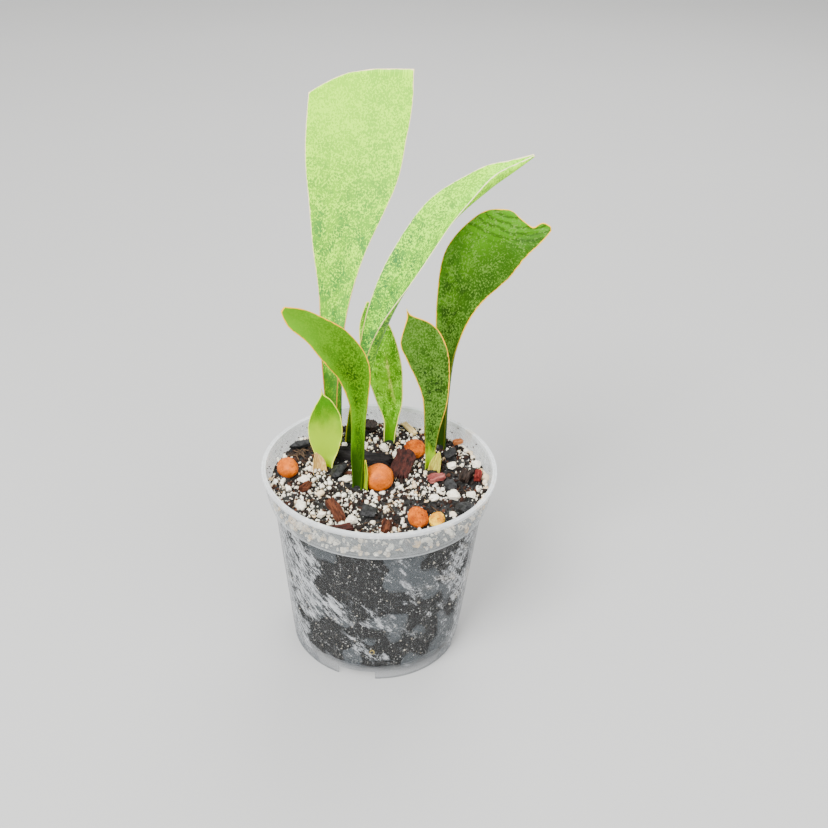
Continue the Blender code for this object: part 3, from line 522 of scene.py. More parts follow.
def new_material(name, rough, gloss=0.5):
    """A fresh Principled material; returns it, its tree and its shader."""
    made = bpy.data.materials.new(name)
    made.use_nodes = True
    shader = made.node_tree.nodes["Principled BSDF"]
    shader.inputs["Roughness"].default_value = rough
    shader.inputs["Specular IOR Level"].default_value = gloss
    return made, made.node_tree, shader


def feed(shader, colour, rough=None, height=None, strength=0.4, distance=0.0005):
    """Link colour, roughness and a bump height into a shader."""
    tree = colour.tree
    tree.links.new(colour.socket, shader.inputs["Base Color"])
    if rough is not None:
        tree.links.new(rough.socket, shader.inputs["Roughness"])
    if height is not None:
        bump = put("ShaderNodeBump", {"Height": height, "Strength": strength, "Distance": distance})
        tree.links.new(bump.socket, shader.inputs["Normal"])


def make_leaf_pattern():
    """Node group: masks of a mottled leaf from its (across, along, edge) millimetres."""
    tree, start = new_group("leaf_pattern", {"Place": "Vector", "Shift": "Vector", "Cover": "Float"})
    flat = mapped(added(start["Place"], start["Shift"]), (1.0, 1.0, 0.0))
    blotch = streaky(flat, (0.16, 0.11, 1.0), 4.0, 0.65, 0.2)
    fine = noise_value(mapped(flat, (1.0, 0.7, 1.0)), 1.15, 4.0, 0.68, 0.5)
    clump = streaky(flat, (0.2, 0.15, 1.0), 3.0, 0.6)
    warp = streaky(flat, (0.09, 0.05, 1.0), 2.0, 0.5)
    lifted = put("ShaderNodeCombineXYZ", {0: 0.0, 1: warp * 34.0, 2: 0.0})
    wavy = added(flat, lifted)
    band = spread(streaky(wavy, (0.014, 0.11, 1.0), 3.0, 0.6), 0.4, 0.6)
    gather = spread(clump, 0.32, 0.68) * 0.6 + band * 0.4
    gather = gather + (start["Cover"] - 0.5)
    limit = spread(gather, 0.0, 1.0, 0.58, 0.44, smooth=False)
    speckle = spread(fine - limit, -0.01, 0.045)
    dot = noise_value(mapped(flat, (1.0, 0.9, 1.0)), 1.3, 2.0, 0.6)
    ribs = streaky(flat, (1.6, 0.06, 1.0), 2.0, 0.5)
    height = fine * 0.45 + ribs * 0.5
    blotch = spread(blotch, 0.4, 0.6)
    dot = spread(dot, 0.73, 0.79)
    close_group(tree, {"Blotch": blotch, "Speckle": speckle, "Dot": dot, "Height": height})


def make_grit_pattern():
    """Node group: broken fine grain of a porous or fibrous lump, from a position in metres."""
    tree, start = new_group("grit_pattern", {"Place": "Vector", "Size": "Float"})
    sizes = {0: start["Place"], "Scale": start["Size"]}
    scaled = put("ShaderNodeVectorMath", sizes, operation="SCALE")
    coarse = noise_value(scaled, 1.0, 4.0, 0.6, 0.2)
    fine = noise_value(scaled, 4.0, 3.0, 0.65)
    pits = spread(cell_distance(scaled, 2.4), 0.1, 0.28, 1.0, 0.0)
    total = coarse * 0.6 + fine * 0.5
    height = total - pits * 0.5
    coarse = spread(coarse, 0.32, 0.68)
    fine = spread(fine, 0.35, 0.65)
    close_group(tree, {"Coarse": coarse, "Fine": fine, "Pits": pits, "Height": height})


def leaf_material(name, style, length, outer):
    """A mottled leaf with a pale margin, painted shade on one side and in the crease rings, and painted
    highlights near the margin and in a cream streak; outer is the duller outside of the blade.
    """
    made, tree, shader = new_material(name, 0.42, 0.07)
    place = own_attribute(tree, "leaf_mm", "Vector")
    seed = sum(ord(letter) for letter in name) % 97
    across, along, margin = axes(place)
    share = along / length
    low_cover, high_cover = style["cover"]
    cover = spread(share, 0.3, 1.0, low_cover, high_cover)
    inputs = {"Place": place, "Shift": (seed * 1.7, seed * 2.3, 0.0), "Cover": cover}
    marks = use_group(tree, "leaf_pattern", inputs)
    base = blend(marks["Blotch"], style["dark"], style["light"])
    base = blend(spread(share, 0.62, 0.98) * 0.8, base, style["tip"])
    # Painted highlight: the blade is lightened towards its tip colour near the margin.
    base = blend(spread(margin, 4.0, 0.3) * style["painted_highlight"], base, style["tip"])
    # Painted shade: the blade's right side is darkened, with a ragged border from the blotches.
    painted_shade_side = across + marks["Blotch"] * 4.0
    base = blend(spread(painted_shade_side, -3.0, 11.0) * style["shade"], base, shaded(style["dark"], 1.1))
    if outer:
        base = blend(0.85, base, style["back"])
    # Painted shade in the crease troughs: rings darkened in step with the creases bent into the blade.
    if style["creases"]:
        sideways = across + CREASE_ACROSS
        lengthways = along - (length - CREASE_BELOW_TIP)
        squares = sideways * sideways + lengthways * lengthways
        away = squares ** 0.5 + marks["Blotch"] * 1.2
        rings = spread(maths("SINE", away * 1.9), -0.95, 0.2, 1.0, 0.0)
        rings = rings * (spread(away, 33.0, 24.0) * spread(away, 8.0, 12.0))
        base = blend(rings * 0.6, base, shaded(style["dark"], 0.8))
    base = blend(marks["Speckle"] * (style["flecks"] * (0.35 if outer else 1.0)), base, style["fleck"])
    base = blend(marks["Dot"] * 0.3, base, shaded(style["dark"], 0.6))
    ragged = (streaky(place, (0.16, 0.07, 0.0), 3.0) - 0.5) * 0.3
    foot = spread(share + ragged, style["foot_end"], style["foot_start"])
    base = blend(foot * 0.9, base, style["foot"])
    # Painted highlight: a cream streak down the blade.
    if style["streak"]:
        middle, start, end = style["streak"]
        wander = (noise_value(place, 0.22, 2.0) - 0.5) * 5.0
        sideways = abs(across + wander - middle)
        reach = spread(share, start, start + 0.1) * spread(share, end, end - 0.1)
        streak = spread(sideways, 1.3, 0.3) * reach
        base = blend(streak * spread(marks["Speckle"], 0.0, 1.0, 0.35, 0.8), base, (226, 236, 96))
    # The margin band is the leaf's own edge colour; on the pale leaves its whitish tone is partly a painted
    # highlight of the lit edge.
    uneven = noise_value(place, 0.35, 2.0)
    width = spread(uneven, 0.3, 0.7, 0.1, 0.38)
    near_edge = spread(margin - width, 0.2, -0.05)
    low = style["edge_from"]
    near_edge = near_edge * spread(share, low, low + 0.15, style["edge_low"], 1.0)
    rim = blend(spread(share, 0.35, 0.65), style["margin_low"], style["margin"])
    base = blend(near_edge, base, rim)
    if style["needle"]:
        needle = spread(length - along, style["needle"], style["needle"] * 0.5)
        base = blend(needle, base, (226, 208, 120))
    feed(shader, base, spread(marks["Blotch"], 0.0, 1.0, 0.38, 0.5), marks["Height"], 0.3, 0.0004)
    return made


def sheath_material(name, first, second):
    """A dry papery sheath with lengthwise fibres."""
    made, tree, shader = new_material(name, 0.8)
    place = own_attribute(tree, "leaf_mm", "Vector")
    fibres = streaky(place, (2.2, 0.18, 0.0), 3.0, 0.6)
    patches = streaky(place, (0.35, 0.25, 0.0), 2.0)
    base = blend(spread(fibres, 0.35, 0.65), first, second)
    base = blend(spread(patches, 0.45, 0.7, 0.0, 0.6), base, (150, 96, 50))
    feed(shader, base, None, fibres, 0.6, 0.0004)
    return made


def lump_material(name, low, high, pit, size, rough, strength, tint=None, fibre=None):
    """A porous or fibrous lump: two base colours, pits that are darker partly in their own colour and partly
    as painted shade in the hollows, and grain in relief.

    The tint colour shows where a piece's tint attribute is high; fibre turns the grain to run
    along a piece.
    """
    made, tree, shader = new_material(name, rough, 0.22)
    place = object_position(tree)
    if fibre:
        place = mapped(place, turn=fibre)
        place = mapped(place, (0.22, 1.5, 1.5))
    marks = use_group(tree, "grit_pattern", {"Place": place, "Size": size})
    base = blend(marks["Coarse"], low, high)
    # The pits are darkened, partly as painted shade in the hollows.
    base = blend(marks["Pits"] * 0.7, base, pit)
    base = blend(marks["Fine"] * 0.3, base, low)
    if tint:
        value = own_attribute(tree, "tint", "Fac")
        base = blend(value, base, tint)
    dull = spread(marks["Fine"], 0.0, 1.0, rough - 0.1, min(rough + 0.1, 1.0))
    feed(shader, base, dull, marks["Height"], strength, 0.0006)
    return made


def soil_material():
    """Damp dark potting mix with brown fibres and scattered pale specks."""
    made, tree, shader = new_material("soil_mix", 0.9)
    place = object_position(tree)
    marks = use_group(tree, "grit_pattern", {"Place": place, "Size": 430.0})
    base = blend(marks["Coarse"], (8, 8, 8), (30, 29, 28))
    # The pits are darkened, partly as painted shade in the hollows of the mix.
    base = blend(marks["Pits"], base, (4, 4, 4))
    streaks = streaky(place, (900.0, 500.0, 260.0), 2.0, turn=(0.5, 0.3, 0.7))
    base = blend(spread(streaks, 0.6, 0.72, 0.0, 0.4), base, (78, 71, 65))
    cells = cell_distance(place, 720.0)
    chosen = noise_value(place, 230.0, 2.0)
    mask = spread(cells, 0.3, 0.16) * spread(chosen, 0.5, 0.58)
    base = blend(mask, base, (166, 166, 162))
    strands = streaky(place, (1400.0, 420.0, 260.0), 1.0, turn=(0.9, 0.2, 0.4))
    base = blend(spread(strands, 0.69, 0.73, 0.0, 0.5), base, (136, 134, 128))
    feed(shader, base, spread(marks["Fine"], 0.0, 1.0, 0.55, 0.98), marks["Height"], 0.9, 0.0008)
    return made


def pot_material():
    """Milky clear plastic: clear where the mix is pressed on it, frosted in streaks, more so at the sides
    partly as painted reflection, with painted highlights on the rim and step and a painted reflection along
    the silhouette.
    """
    made, tree, shader = new_material("pot_clear_plastic", 0.3, 0.4)
    place = object_position(tree)
    across, _, height = axes(place)
    turned = mapped(place, turn=(0.4, 0.75, 0.2))
    cloud = streaky(turned, (42.0, 42.0, 28.0), 3.0, 0.55)
    streaks = streaky(turned, (460.0, 400.0, 125.0), 4.0, 0.7, 0.3)
    fine = noise_value(place, 1500.0, 3.0, 0.7)
    breaks = streaky(turned, (170.0, 150.0, 60.0), 2.0, 0.6)
    cloud = cloud + (breaks - 0.5) * 0.5
    # More frost towards the left and right sides: partly the plastic's own frost, partly a painted reflection
    # where the wall turns away.
    sides = spread(abs(across - 0.005), 0.024, 0.048, -0.03, 0.15)
    foot = spread(height, 0.035, 0.004, 0.0, 0.06)
    zone = spread(cloud + sides + foot, 0.53, 0.63)
    grain = spread(streaks * 0.8 + fine * 0.2, 0.49, 0.55)
    lone = spread(streaks, 0.6, 0.66) * 0.3
    frost = larger(zone * (grain * 0.92 + 0.08), lone)
    pressed = streaky(turned, (60.0, 60.0, 44.0), 1.0, 0.4, shift=(3.1, 1.7, 0.4))
    pressed = spread(pressed, 0.56, 0.575) * 0.2
    # Frost grows where the wall is seen at a grazing angle: painted reflection.
    edge = facing_away(tree)
    frost = frost * spread(edge, 0.05, 0.5, 0.45, 1.0)
    alpha = larger(frost * 0.5 + 0.014, pressed)
    band = spread(height, (SHELF - 1.2) * MM, (SHELF + 0.8) * MM)
    alpha = larger(alpha, band * (grain * 0.14 + 0.24))
    above = spread(height, SOIL_TOP * MM, (SOIL_TOP + 1.5) * MM) * 0.3
    alpha = larger(alpha, above)
    # A pale, denser line at the rim and at the lip's step: painted highlight.
    rim = spread(height, (POT_HEIGHT - 2.3) * MM, (POT_HEIGHT - 1.9) * MM) * 0.62
    step = spread(abs(height - (SHELF + 0.2) * MM), 0.0006, 0.0002) * 0.5
    brim = spread(height, 0.0008, 0.0003) * 0.35
    alpha = larger(alpha, larger(rim, larger(step, brim)))
    under = spread(height, (FLOOR_TOP + 0.3) * MM, (FLOOR_TOP - 0.4) * MM)
    alpha = larger(alpha, under * 0.16)
    # Where the wall is seen edge-on it turns denser and darker grey: a painted reflection line along the
    # silhouette.
    painted_edge_reflection = spread(edge, 0.74, 0.95)
    alpha = maths("ADD", alpha, painted_edge_reflection * 0.34, clamp=True)
    base = blend(spread(frost, 0.0, 0.6), (104, 111, 116), (210, 213, 216))
    base = blend(painted_edge_reflection * 0.85, base, (74, 80, 85))
    base = blend(band * 0.5, base, (206, 210, 208))
    # Painted highlight on the rim and the step.
    base = blend(larger(rim, step), base, (240, 243, 246))
    base = blend(under, base, (104, 110, 116))
    warm = spread(cloud, 0.6, 0.7) * spread(across, 0.01, 0.04, 0.0, 0.5)
    base = blend(warm, base, (214, 196, 166))
    tree.links.new(alpha.socket, shader.inputs["Alpha"])
    feed(shader, base, spread(frost, 0.0, 1.0, 0.2, 0.5), streaks, 0.12, 0.0004)
    return made


# ---- mesh helpers --------------------------------------------------------------------


def active(target):
    """Make one object the only selected and active one."""
    bpy.ops.object.select_all(action="DESELECT")
    target.select_set(True)
    bpy.context.view_layer.objects.active = target
    return target


def add(name, primitive, **settings):
    """Add a primitive with nothing else selected, and name it and its mesh."""
    bpy.ops.object.select_all(action="DESELECT")
    primitive(**settings)
    made = bpy.context.active_object
    made.name = name
    made.data.name = name
    return made


def mesh_object(name, points, edges, faces):
    """A new object in the scene from points in metres."""
    mesh = bpy.data.meshes.new(name)
    mesh.from_pydata(points, edges, faces)
    made = bpy.data.objects.new(name, mesh)
    bpy.context.scene.collection.objects.link(made)
    return made


def set_tint(mesh, values):
    """Keep a tint from 0 to 1 for each point, which the materials read."""
    attribute = mesh.attributes.new("tint", "FLOAT", "POINT")
    attribute.data.foreach_set("value", np.asarray(values, np.float32))


def settle(target):
    """Apply every modifier of an object."""
    active(target)
    for modifier in list(target.modifiers):
        bpy.ops.object.modifier_apply(modifier=modifier.name)
    return target


def finish_piece(target, nodes, looks, smooth=True, crease=None):
    """Give a piece its materials, its place in the assembly and the CAD nodes it stands for.

    Edges sharper than crease, in degrees, are kept sharp.
    """
    target.data.materials.clear()
    for look in looks:
        target.data.materials.append(look)
    for face in target.data.polygons:
        face.use_smooth = smooth
    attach(target, "root")
    if nodes:
        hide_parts(*nodes)
    if crease:
        active(target)
        bpy.ops.object.shade_smooth_by_angle(angle=math.radians(crease))


def get_points(mesh):
    """A mesh's vertex positions as an array."""
    points = np.empty(len(mesh.vertices) * 3)
    mesh.vertices.foreach_get("co", points)
    return points.reshape(-1, 3)


def set_points(mesh, points):
    """Write vertex positions back."""
    mesh.vertices.foreach_set("co", np.asarray(points, float).ravel())
    mesh.update()


def stations(rows, along):
    """Smooth rows between the given ones, for an array of places from 0 to 1."""
    table = np.array(rows, float)
    spans = len(rows) - 1
    place = np.clip(along, 0.0, 1.0) * spans
    first = np.minimum(place.astype(int), spans - 1)
    part = (place - first)[:, None]
    before = table[np.maximum(first - 1, 0)]
    here = table[first]
    after = table[first + 1]
    beyond = table[np.minimum(first + 2, spans)]
    linear = (after - before) * part
    square = (2.0 * before - 5.0 * here + 4.0 * after - beyond) * part ** 2
    cube = (3.0 * here - before - 3.0 * after + beyond) * part ** 3
    over = np.maximum(along - 1.0, 0.0)[:, None] * spans
    return here + 0.5 * (linear + square + cube) + over * (table[-1] - table[-2])


def unit(vectors):
    """Vectors scaled to length one, row by row."""
    return vectors / np.linalg.norm(vectors, axis=1)[:, None]


def bend_blade(side, along, rows, waves, seed, creases=0.0, smoothing=0.035):
    """Positions, and (across, along, edge) millimetres, of blade points given as two arrays."""
    row = stations(rows, along)
    middle = np.clip(along, smoothing, 1.0 - smoothing)
    tangent = unit(stations(rows, middle + smoothing)[:, :3] - stations(rows, middle - smoothing)[:, :3])
    facing = np.tile(np.array(FACE_DIRECTION), (len(side), 1))
    facing = unit(facing - tangent * np.sum(tangent * facing, axis=1)[:, None])
    across = np.cross(tangent, facing)
    twist = np.radians(row[:, 5])[:, None]
    turned_across = across * np.cos(twist) + facing * np.sin(twist)
    turned_facing = facing * np.cos(twist) - across * np.sin(twist)
    half = np.maximum(np.where(side > 0.0, row[:, 4], row[:, 3]), 0.18)
    pairs = list(zip(along, side))
    wobble = np.array([noise.noise(Vector((a * 11.0, 5.0 * np.sign(s), seed * 2.3))) for a, s in pairs])
    half = half * (1.0 + 0.035 * waves * wobble)
    curl = np.radians(np.clip(np.where(side > 0.0, row[:, 7], row[:, 6]), 6.0, 165.0))
    radius = half / np.sin(np.minimum(curl, math.pi / 2.0))
    angle = curl * np.abs(side)
    lateral = np.sign(side) * radius * np.sin(angle)
    depth = radius * (1.0 - np.cos(angle)) - 0.3 * half * np.sin(np.minimum(curl, math.pi / 2.0))
    ripple = np.array([noise.noise(Vector((a * 9.0, s * 0.8 + seed, seed * 3.1))) for a, s in pairs])
    depth = depth + waves * ripple * np.abs(side) ** 2 * np.minimum(half / 8.0, 1.2)
    place = row[:, :3] + turned_across * lateral[:, None] + turned_facing * depth[:, None]
    steps = np.linspace(0.0, 1.0, 200)
    path = stations(rows, steps)[:, :3]
    walked = np.concatenate([[0.0], np.cumsum(np.linalg.norm(np.diff(path, axis=0), axis=1))])
    run = np.interp(along, steps, walked)
    arc = radius * angle * np.sign(side)
    away = np.hypot(arc + CREASE_ACROSS, run - walked[-1] + CREASE_BELOW_TIP) + 2.0 * ripple
    rings = np.sin(away * math.tau / CREASE_SPACING) * np.clip((27.0 - away) / 6.0, 0.0, 1.0)
    rings = rings * np.clip((away - 9.0) / 4.0, 0.0, 1.0)
    place = place + turned_facing * (creases * rings)[:, None]
    edge = radius * curl * (1.0 - np.abs(side))
    return place * MM, np.stack([arc, run, edge], axis=1), walked[-1]


def blade(name, rows, cells, thickness, waves, seed, tip=None, margin=0.24, creases=0.0, smoothing=0.035):
    """A leaf blade: a grid bent along its stations, thickened, with its measures kept as an attribute."""
    grid = bpy.ops.mesh.primitive_grid_add
    made = add(name, grid, x_subdivisions=cells[0], y_subdivisions=cells[1], size=2.0)
    flat = get_points(made.data)
    side = np.sin(flat[:, 0] * math.pi / 2.0) * 0.35 + flat[:, 0] * 0.65
    along = (flat[:, 1] + 1.0) / 2.0
    if tip:
        reach = np.interp(side, np.linspace(-1.0, 1.0, len(tip)), tip)
        along = along * (1.0 + (reach - 1.0) * np.clip((along - 0.8) / 0.2, 0.0, 1.0))
    place, measures, length = bend_blade(side, along, rows, waves, seed, creases, smoothing)
    measures[:, 2] = np.minimum(measures[:, 2], (1.0 - flat[:, 1]) / 2.0 * length)
    set_points(made.data, place)
    group = made.vertex_groups.new(name="thickness")
    for index, (s, a) in enumerate(zip(side, along)):
        weight = (margin + (1.0 - margin) * (1.0 - abs(s) ** 3)) * (1.0 - 0.45 * a)
        group.add([index], float(weight), "REPLACE")
    solid = made.modifiers.new("thickness", "SOLIDIFY")
    solid.thickness = thickness * MM
    solid.offset = 0.0
    solid.vertex_group = "thickness"
    solid.use_even_offset = False
    solid.material_offset = 1
    solid.material_offset_rim = 0
    settle(made)
    made.vertex_groups.clear()
    count = len(made.data.vertices) // len(measures)
    attribute = made.data.attributes.new("leaf_mm", "FLOAT_VECTOR", "POINT")
    attribute.data.foreach_set("vector", np.tile(measures, (count, 1)).astype(np.float32).ravel())
    return made, length


def inner_radius(height):
    """The pot wall's inner radius at a height, in millimetres."""
    foot = FOOT_RADIUS - WALL
    top = WALL_TOP_RADIUS - WALL
    if height <= SHELF:
        return foot + (top - foot) * height / SHELF
    share = min((height - SHELF) / LIP_BAND, 1.0)
    return LIP_LOW_RADIUS - WALL + (RIM_RADIUS - RIM_WIDTH - LIP_LOW_RADIUS + WALL) * share


def on_circle(angle, reach, height):
    """A point in metres from an angle about Z, and a reach and a height in millimetres."""
    return (math.cos(angle) * reach * MM, math.sin(angle) * reach * MM, height * MM)


def turned(name, profile, steps):
    """A solid of revolution about Z from a profile in millimetres, starting and ending on the axis."""
    points = [(radius * MM, 0.0, height * MM) for radius, height in profile]
    made = mesh_object(name, points, [(i, i + 1) for i in range(len(points) - 1)], [])
    screw = made.modifiers.new("turn", "SCREW")
    screw.angle = math.tau
    screw.steps = steps
    screw.render_steps = steps
    screw.use_merge_vertices = True
    screw.merge_threshold = 0.00001
    return settle(made)


def cut(target, cutter):
    """Subtract one object from another and remove the cutter."""
    hole = target.modifiers.new("cut", "BOOLEAN")
    hole.operation = "DIFFERENCE"
    hole.solver = "EXACT"
    hole.object = cutter
    settle(target)
    bpy.data.objects.remove(cutter, do_unlink=True)


def soil_height(x, y):
    """The uneven soil surface, in millimetres."""
    swell = noise.noise(Vector((x * 0.05, y * 0.05, 1.3)))
    crumbs = noise.noise(Vector((x * 0.3, y * 0.3, 4.1)))
    fine = noise.noise(Vector((x * 0.9, y * 0.9, 7.7)))
    edge = max(0.0, math.hypot(x, y) - 50.0) * 0.16
    return SOIL_TOP - 1.0 + swell * 1.1 + crumbs * 1.2 + fine * 0.4 - edge


def openness(x, y):
    """How thickly the perlite lies at a place on the soil, from about 0 to 1."""
    value = 0.56 + 0.6 * noise.noise(Vector((x * 0.09, y * 0.09, 9.4)))
    value += 0.35 * noise.noise(Vector((x * 0.24, y * 0.24, 3.4)))
    for spot_x, spot_y, radius in DARK_SPOTS:
        value -= 0.9 * math.exp(-((x - spot_x) ** 2 + (y - spot_y) ** 2) / (radius * radius))
    return value


def rough_ball(detail, seed, roughness, chips=0, chip_depth=0.8):
    """Points and triangles of a unit lump with noise and flat chipped faces."""
    made = add("ball", bpy.ops.mesh.primitive_ico_sphere_add, subdivisions=detail, radius=1.0)
    points = get_points(made.data)
    faces = np.array([tuple(face.vertices) for face in made.data.polygons])
    bpy.data.objects.remove(made, do_unlink=True)
    draw = np.random.RandomState(seed)
    for index, point in enumerate(points):
        away = Vector(point) * 1.6 + Vector((seed * 3.7, seed * 1.9, seed * 0.7))
        swell = noise.noise(away) + 0.5 * noise.noise(away * 2.3) + 0.25 * noise.noise(away * 5.0)
        points[index] = point * (1.0 + roughness * swell)
    for _ in range(chips):
        normal = draw.normal(size=3)
        normal /= np.linalg.norm(normal)
        limit = draw.uniform(chip_depth * 0.75, chip_depth)
        over = np.maximum(points @ normal - limit, 0.0)
        points = points - np.outer(over * 0.93, normal)
    return points, faces


def rotation(*turns):
    """A rotation matrix from (angle in radians, axis) pairs, the last one turned first."""
    total = Matrix.Identity(3)
    for angle, axis in turns:
        total = total @ Matrix.Rotation(angle, 3, axis)
    return np.array(total)


def scatter(name, shapes, places, seed, lying=False):
    """One mesh of copied shapes, one at each (x, y, z, radius, stretch, tint).

    Lying ones stay nearly level.
    """
    draw = np.random.RandomState(seed)
    points = []
    faces = []
    tints = []
    total = 0
    for x, y, z, radius, stretch, tint in places:
        shape_points, shape_faces = shapes[draw.randint(len(shapes))]
        scale = np.array([1.0, stretch, draw.uniform(0.5, 1.0)]) * radius
        turn = rotation(*zip(draw.uniform(0.0, math.tau, 3), "XYZ"))
        if lying:
            turn = rotation((draw.uniform(0.0, math.tau), "Z"), (draw.normal(0.0, 0.22), "X"))
            scale = np.array([1.0, stretch, 0.8]) * radius
        moved = (shape_points * scale) @ turn.T + np.array([x, y, z])
        points.append(moved * MM)
        faces.append(shape_faces + total)
        tints.append(np.full(len(shape_points), tint))
        total += len(shape_points)
    made = mesh_object(name, np.concatenate(points).tolist(), [], np.concatenate(faces).tolist())
    set_tint(made.data, np.concatenate(tints))
    return made


def keep_out():
    """Circles on the soil that loose grains stay out of: (x, y, radius)."""
    circles = [(spec[0], spec[1], max(spec[3], spec[4]) * 0.92) for spec in PEBBLES.values()]
    circles += [(rows[1][0], rows[1][1], rows[1][3] + 1.6) for rows in LEAVES.values()]
    for spec in (*CHARCOAL.values(), *PERLITE.values()):
        circles.append((spec[0], spec[1], min(spec[2], spec[3])))
    for x, y, _, length, width, _, turn, *_ in BARK.values():
        end_x = math.cos(math.radians(turn)) * (length - width) / 2.0
        end_y = math.sin(math.radians(turn)) * (length - width) / 2.0
        for share in (-1.0, -0.35, 0.35, 1.0):
            circles.append((x + end_x * share, y + end_y * share, width * 0.42))
    return circles


def free_of(circles, x, y, radius):
    """True where a grain of a radius clears every circle."""
    return all(math.hypot(x - cx, y - cy) > cr + radius * 0.4 for cx, cy, cr in circles)


# ---- settings ------------------------------------------------------------------------


class LeafSettings(bpy.types.PropertyGroup):
    """How the leaves are built."""

    cells_across: bpy.props.IntProperty(
        name="Cells across", description="Faces across each blade", default=28, min=8
    )
    cells_along: bpy.props.IntProperty(
        name="Cells along", description="Faces along each blade", default=130, min=20
    )
    thickness: bpy.props.FloatProperty(
        name="Thickness", description="Thickness of a blade at its midrib, in mm", default=1.7, min=0.5
    )
    waves: bpy.props.FloatProperty(
        name="Waves", description="Height of the margin's waves, in mm", default=0.9, min=0.0
    )


class SoilSettings(bpy.types.PropertyGroup):
    """How the soil and its grains are built."""

    seed: bpy.props.IntProperty(name="Seed", description="Seed of every random draw", default=7)
    perlite_grains: bpy.props.IntProperty(
        name="Perlite", description="Perlite grains tried on the surface", default=9000
    )
    dark_crumbs: bpy.props.IntProperty(name="Crumbs", description="Dark crumbs on the surface", default=2600)
    slivers: bpy.props.IntProperty(
        name="Slivers", description="Thin slivers of coir on the surface", default=330
    )
    dust: bpy.props.IntProperty(name="Dust", description="Dark specks on the wall over the soil", default=110)
    wall_grains: bpy.props.IntProperty(
        name="Wall grains", description="Pale grains against the pot wall", default=560
    )


class PotSettings(bpy.types.PropertyGroup):
    """How the pot is built."""

    steps: bpy.props.IntProperty(name="Steps", description="Steps around the turned pot", default=160, min=24)


class StageSettings(bpy.types.PropertyGroup):
    """The camera and studio."""

    lens: bpy.props.FloatProperty(name="Lens", description="Focal length, in mm", default=50.0, min=10.0)
    key_power: bpy.props.FloatProperty(
        name="Key", description="Power of the key light, in W", default=82.0, min=0.0
    )
    fill_power: bpy.props.FloatProperty(
        name="Fill", description="Power of the fill light, in W", default=18.0, min=0.0
    )
    sky: bpy.props.FloatProperty(name="Sky", description="Strength of the even light", default=1.15, min=0.0)


# ---- operators -----------------------------------------------------------------------


class SNAKEPLANT_OT_pot(bpy.types.Operator):
    """Build the clear pot"""

    bl_idname = "snakeplant.pot"
    bl_label = "Build Pot"

    def execute(self, context):
        rim_inner = RIM_RADIUS - RIM_WIDTH
        band_top = POT_HEIGHT - RIM_BEAD_HEIGHT
        under = FLOOR_TOP - FLOOR_THICKNESS
        cup = CENTRE_FOOT_RADIUS - WALL
        floor_reach = inner_radius(FLOOR_TOP)
        wall_in = WALL_TOP_RADIUS - WALL
        lip_in = LIP_LOW_RADIUS - WALL
        bead = RIM_RADIUS - RIM_BEAD
        profile = [
            (0.0, FLOOR_THICKNESS), (cup * 0.5, FLOOR_THICKNESS), (cup, FLOOR_THICKNESS),
            (cup + 0.6, FLOOR_TOP), (floor_reach - 1.0, FLOOR_TOP), (floor_reach - 0.3, FLOOR_TOP + 0.3),
            *((inner_radius(h), h) for h in (FLOOR_TOP + 1.0, *WALL_HEIGHTS, SHELF - 0.4)),
            (wall_in + 0.15, SHELF + 0.1), (lip_in - 0.25, SHELF + 0.6), (lip_in, SHELF + 1.0),
            (inner_radius(SOIL_TOP) + 0.15, SOIL_TOP), (rim_inner, POT_HEIGHT - 0.6),
            (rim_inner + 0.12, POT_HEIGHT - 0.15), (rim_inner + 0.45, POT_HEIGHT),
            (rim_inner + 1.0, POT_HEIGHT - 0.02), (rim_inner + 1.25, POT_HEIGHT - 0.22),
            (rim_inner + 1.5, POT_HEIGHT - 0.02), (RIM_RADIUS - 0.45, POT_HEIGHT),
            (RIM_RADIUS - 0.1, POT_HEIGHT - 0.15), (RIM_RADIUS, POT_HEIGHT - 0.5),
            (RIM_RADIUS, band_top + 0.5), (RIM_RADIUS - 0.2, band_top + 0.1), (bead, band_top - 0.1),
            (bead - 0.5, 99.0), (LIP_LOW_RADIUS + 1.0, 93.0), (LIP_LOW_RADIUS + 0.05, SHELF + 0.6),
            (LIP_LOW_RADIUS - 0.15, SHELF + 0.1), (LIP_LOW_RADIUS - 0.5, SHELF),
            (WALL_TOP_RADIUS + 0.3, SHELF - 0.1), (WALL_TOP_RADIUS, SHELF - 0.5),
            *((inner_radius(h) + WALL, h) for h in (*reversed(WALL_HEIGHTS), 8.0)),
            (FOOT_RADIUS, 0.5), (FOOT_RADIUS - 0.15, 0.1), (FOOT_RADIUS - 0.4, 0.0),
            (FOOT_RADIUS - WALL, 0.0), (inner_radius(under) - 0.2, under),
            (CENTRE_FOOT_RADIUS + 0.6, under), (CENTRE_FOOT_RADIUS, 0.3),
            (CENTRE_FOOT_RADIUS - 0.3, 0.0), (0.0, 0.0),
        ]
        pot = turned("pot_body", profile, context.scene.snakeplant_pot.steps)
        for number in range(NOTCH_COUNT):
            angle = NOTCH_FIRST_ANGLE + math.tau * number / NOTCH_COUNT
            place = on_circle(angle, FOOT_RADIUS, 0.0)
            turn = (0.0, 0.0, angle)
            box = add("notch", bpy.ops.mesh.primitive_cube_add, size=1.0, location=place, rotation=turn)
            box.scale = (NOTCH_DEPTH * MM, NOTCH_WIDTH * MM, NOTCH_HEIGHT * 2.0 * MM)
            cut(pot, box)
        for number in range(DRAIN_COUNT):
            angle = NOTCH_FIRST_ANGLE + math.tau * (number + 0.5) / DRAIN_COUNT
            place = on_circle(angle, DRAIN_RING, FLOOR_TOP - 0.6)
            drill = bpy.ops.mesh.primitive_cylinder_add
            size = {"radius": DRAIN_RADIUS * MM, "depth": 5.0 * MM}
            cut(pot, add("drain", drill, vertices=40, location=place, **size))
        finish_piece(pot, ["pot"], [pot_material()], crease=50.0)
        return {"FINISHED"}


